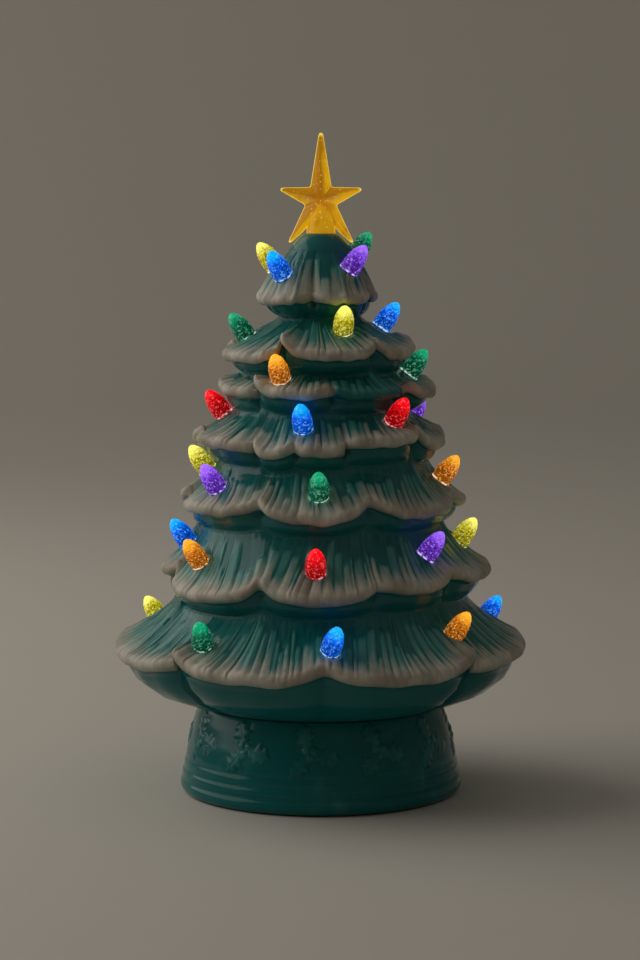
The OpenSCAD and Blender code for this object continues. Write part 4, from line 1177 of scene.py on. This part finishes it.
class TREE_OT_bulbs(bpy.types.Operator):
    """Build the pebbled bulbs, one for each socket of the crown"""

    bl_idname = "ceramic_tree.bulbs"
    bl_label = "Fit Bulbs"

    def execute(self, context):
        sizes = context.scene.tree_bulbs
        looks = {key: bulb_look(name, tuple(getattr(sizes, name)), tip, sizes)
                 for key, (name, tip) in BULB_COLOURS.items()}
        draw = np.random.default_rng(BULB_SEED)
        for tier, (letter, keys, places) in enumerate(BULB_ROWS):
            form = TierForm(context.scene.tree_crown, tier)
            for number, (place, key) in enumerate(zip(places, keys), 1):
                node = f"bulb_{letter}{number}"
                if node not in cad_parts:
                    raise RuntimeError(f"the model has no {node}")
                seat, axis = form.bulb_frame(place, sizes)
                skin = bulb_skin(seat, axis, place[0], sizes, draw)
                slot = "bulb_" + BULB_COLOURS[key][0]
                skin.piece("lit_" + node, [looks[key]], "crown", slot, [node])
        return {"FINISHED"}


class TREE_OT_star(bpy.types.Operator):
    """Build the amber star with its bell and peg"""

    bl_idname = "ceramic_tree.star"
    bl_label = "Set Star"

    def execute(self, context):
        scene = context.scene
        skin = star_skin(scene.tree_star, scene.tree_crown)
        looks = [amber_look(scene.tree_star)]
        skin.piece("amber_star", looks, "star", "star_amber", ["star_topper"], STAR_CREASE)
        return {"FINISHED"}


class TREE_OT_fittings(bpy.types.Operator):
    """Finish the lamp, the battery box, the switch and the soft foot, which keep their solids"""

    bl_idname = "ceramic_tree.fittings"
    bl_label = "Finish Fittings"

    def execute(self, context):
        steel, black = steel_look(), moulded_look("black_plastic", (0.018, 0.018, 0.019), 0.42)
        white = moulded_look("white_plastic", (0.62, 0.61, 0.58), 0.35, wear=0.08)
        looks = {
            "foot_pad": moulded_look("soft_foot", (0.030, 0.029, 0.028), 0.75, 2200),
            "battery_housing": black, "battery_door": black, "switch_body": black,
            "hinge_pin": steel, "contact_plates": steel, "contact_springs": steel,
            "cell_1": cell_look(False), "cell_2": cell_look(True), "cell_3": cell_look(False),
            "switch_knob": white, "lamp_post": white,
            "lamp_lead": moulded_look("lead_cover", (0.52, 0.49, 0.40), 0.5),
            "led_board": board_look(),
            "leds": lit_look("lit_chips", (1.0, 0.86, 0.5), 3.0, 0.3),
            "lamp_diffuser": lit_look("frosted_cap", (0.86, 0.83, 0.74), 0.5, 0.5),
        }
        for node, look in looks.items():
            mesh = bpy.data.objects[node].data
            mesh.materials.clear()
            mesh.materials.append(look)
        return {"FINISHED"}


class TREE_PT_tools(bpy.types.Panel):
    """Lists the sizes and colours of the tree and the operators that make it"""

    bl_idname = "TREE_PT_tools"
    bl_label = "Ceramic Tree"
    bl_space_type = "VIEW_3D"
    bl_region_type = "UI"
    bl_category = "Ceramic Tree"

    def draw(self, context):
        for operator in OPERATORS:
            self.layout.operator(operator.bl_idname)
        for name, group in GROUPS.items():
            column = self.layout.column(heading=name)
            for field in group.__annotations__:
                column.prop(getattr(context.scene, name), field)


GROUPS = {"tree_crown": TREE_PG_crown, "tree_base": TREE_PG_base, "tree_bulbs": TREE_PG_bulbs,
          "tree_star": TREE_PG_star, "tree_glaze": TREE_PG_glaze, "tree_studio": TREE_PG_studio}
OPERATORS = (TREE_OT_stage, TREE_OT_crown, TREE_OT_base, TREE_OT_bulbs, TREE_OT_star,
             TREE_OT_fittings)


def register():
    for made in (*GROUPS.values(), *OPERATORS, TREE_PT_tools):
        bpy.utils.register_class(made)
    for name, group in GROUPS.items():
        setattr(bpy.types.Scene, name, PointerProperty(type=group))


def unregister():
    for name in GROUPS:
        delattr(bpy.types.Scene, name)
    for made in (TREE_PT_tools, *reversed(OPERATORS), *reversed(GROUPS.values())):
        bpy.utils.unregister_class(made)


def main():
    register()
    bpy.ops.ceramic_tree.stage()
    bpy.ops.ceramic_tree.crown()
    bpy.ops.ceramic_tree.base()
    bpy.ops.ceramic_tree.bulbs()
    bpy.ops.ceramic_tree.star()
    bpy.ops.ceramic_tree.fittings()
    bpy.context.view_layer.update()


if __name__ == "__main__":
    main()
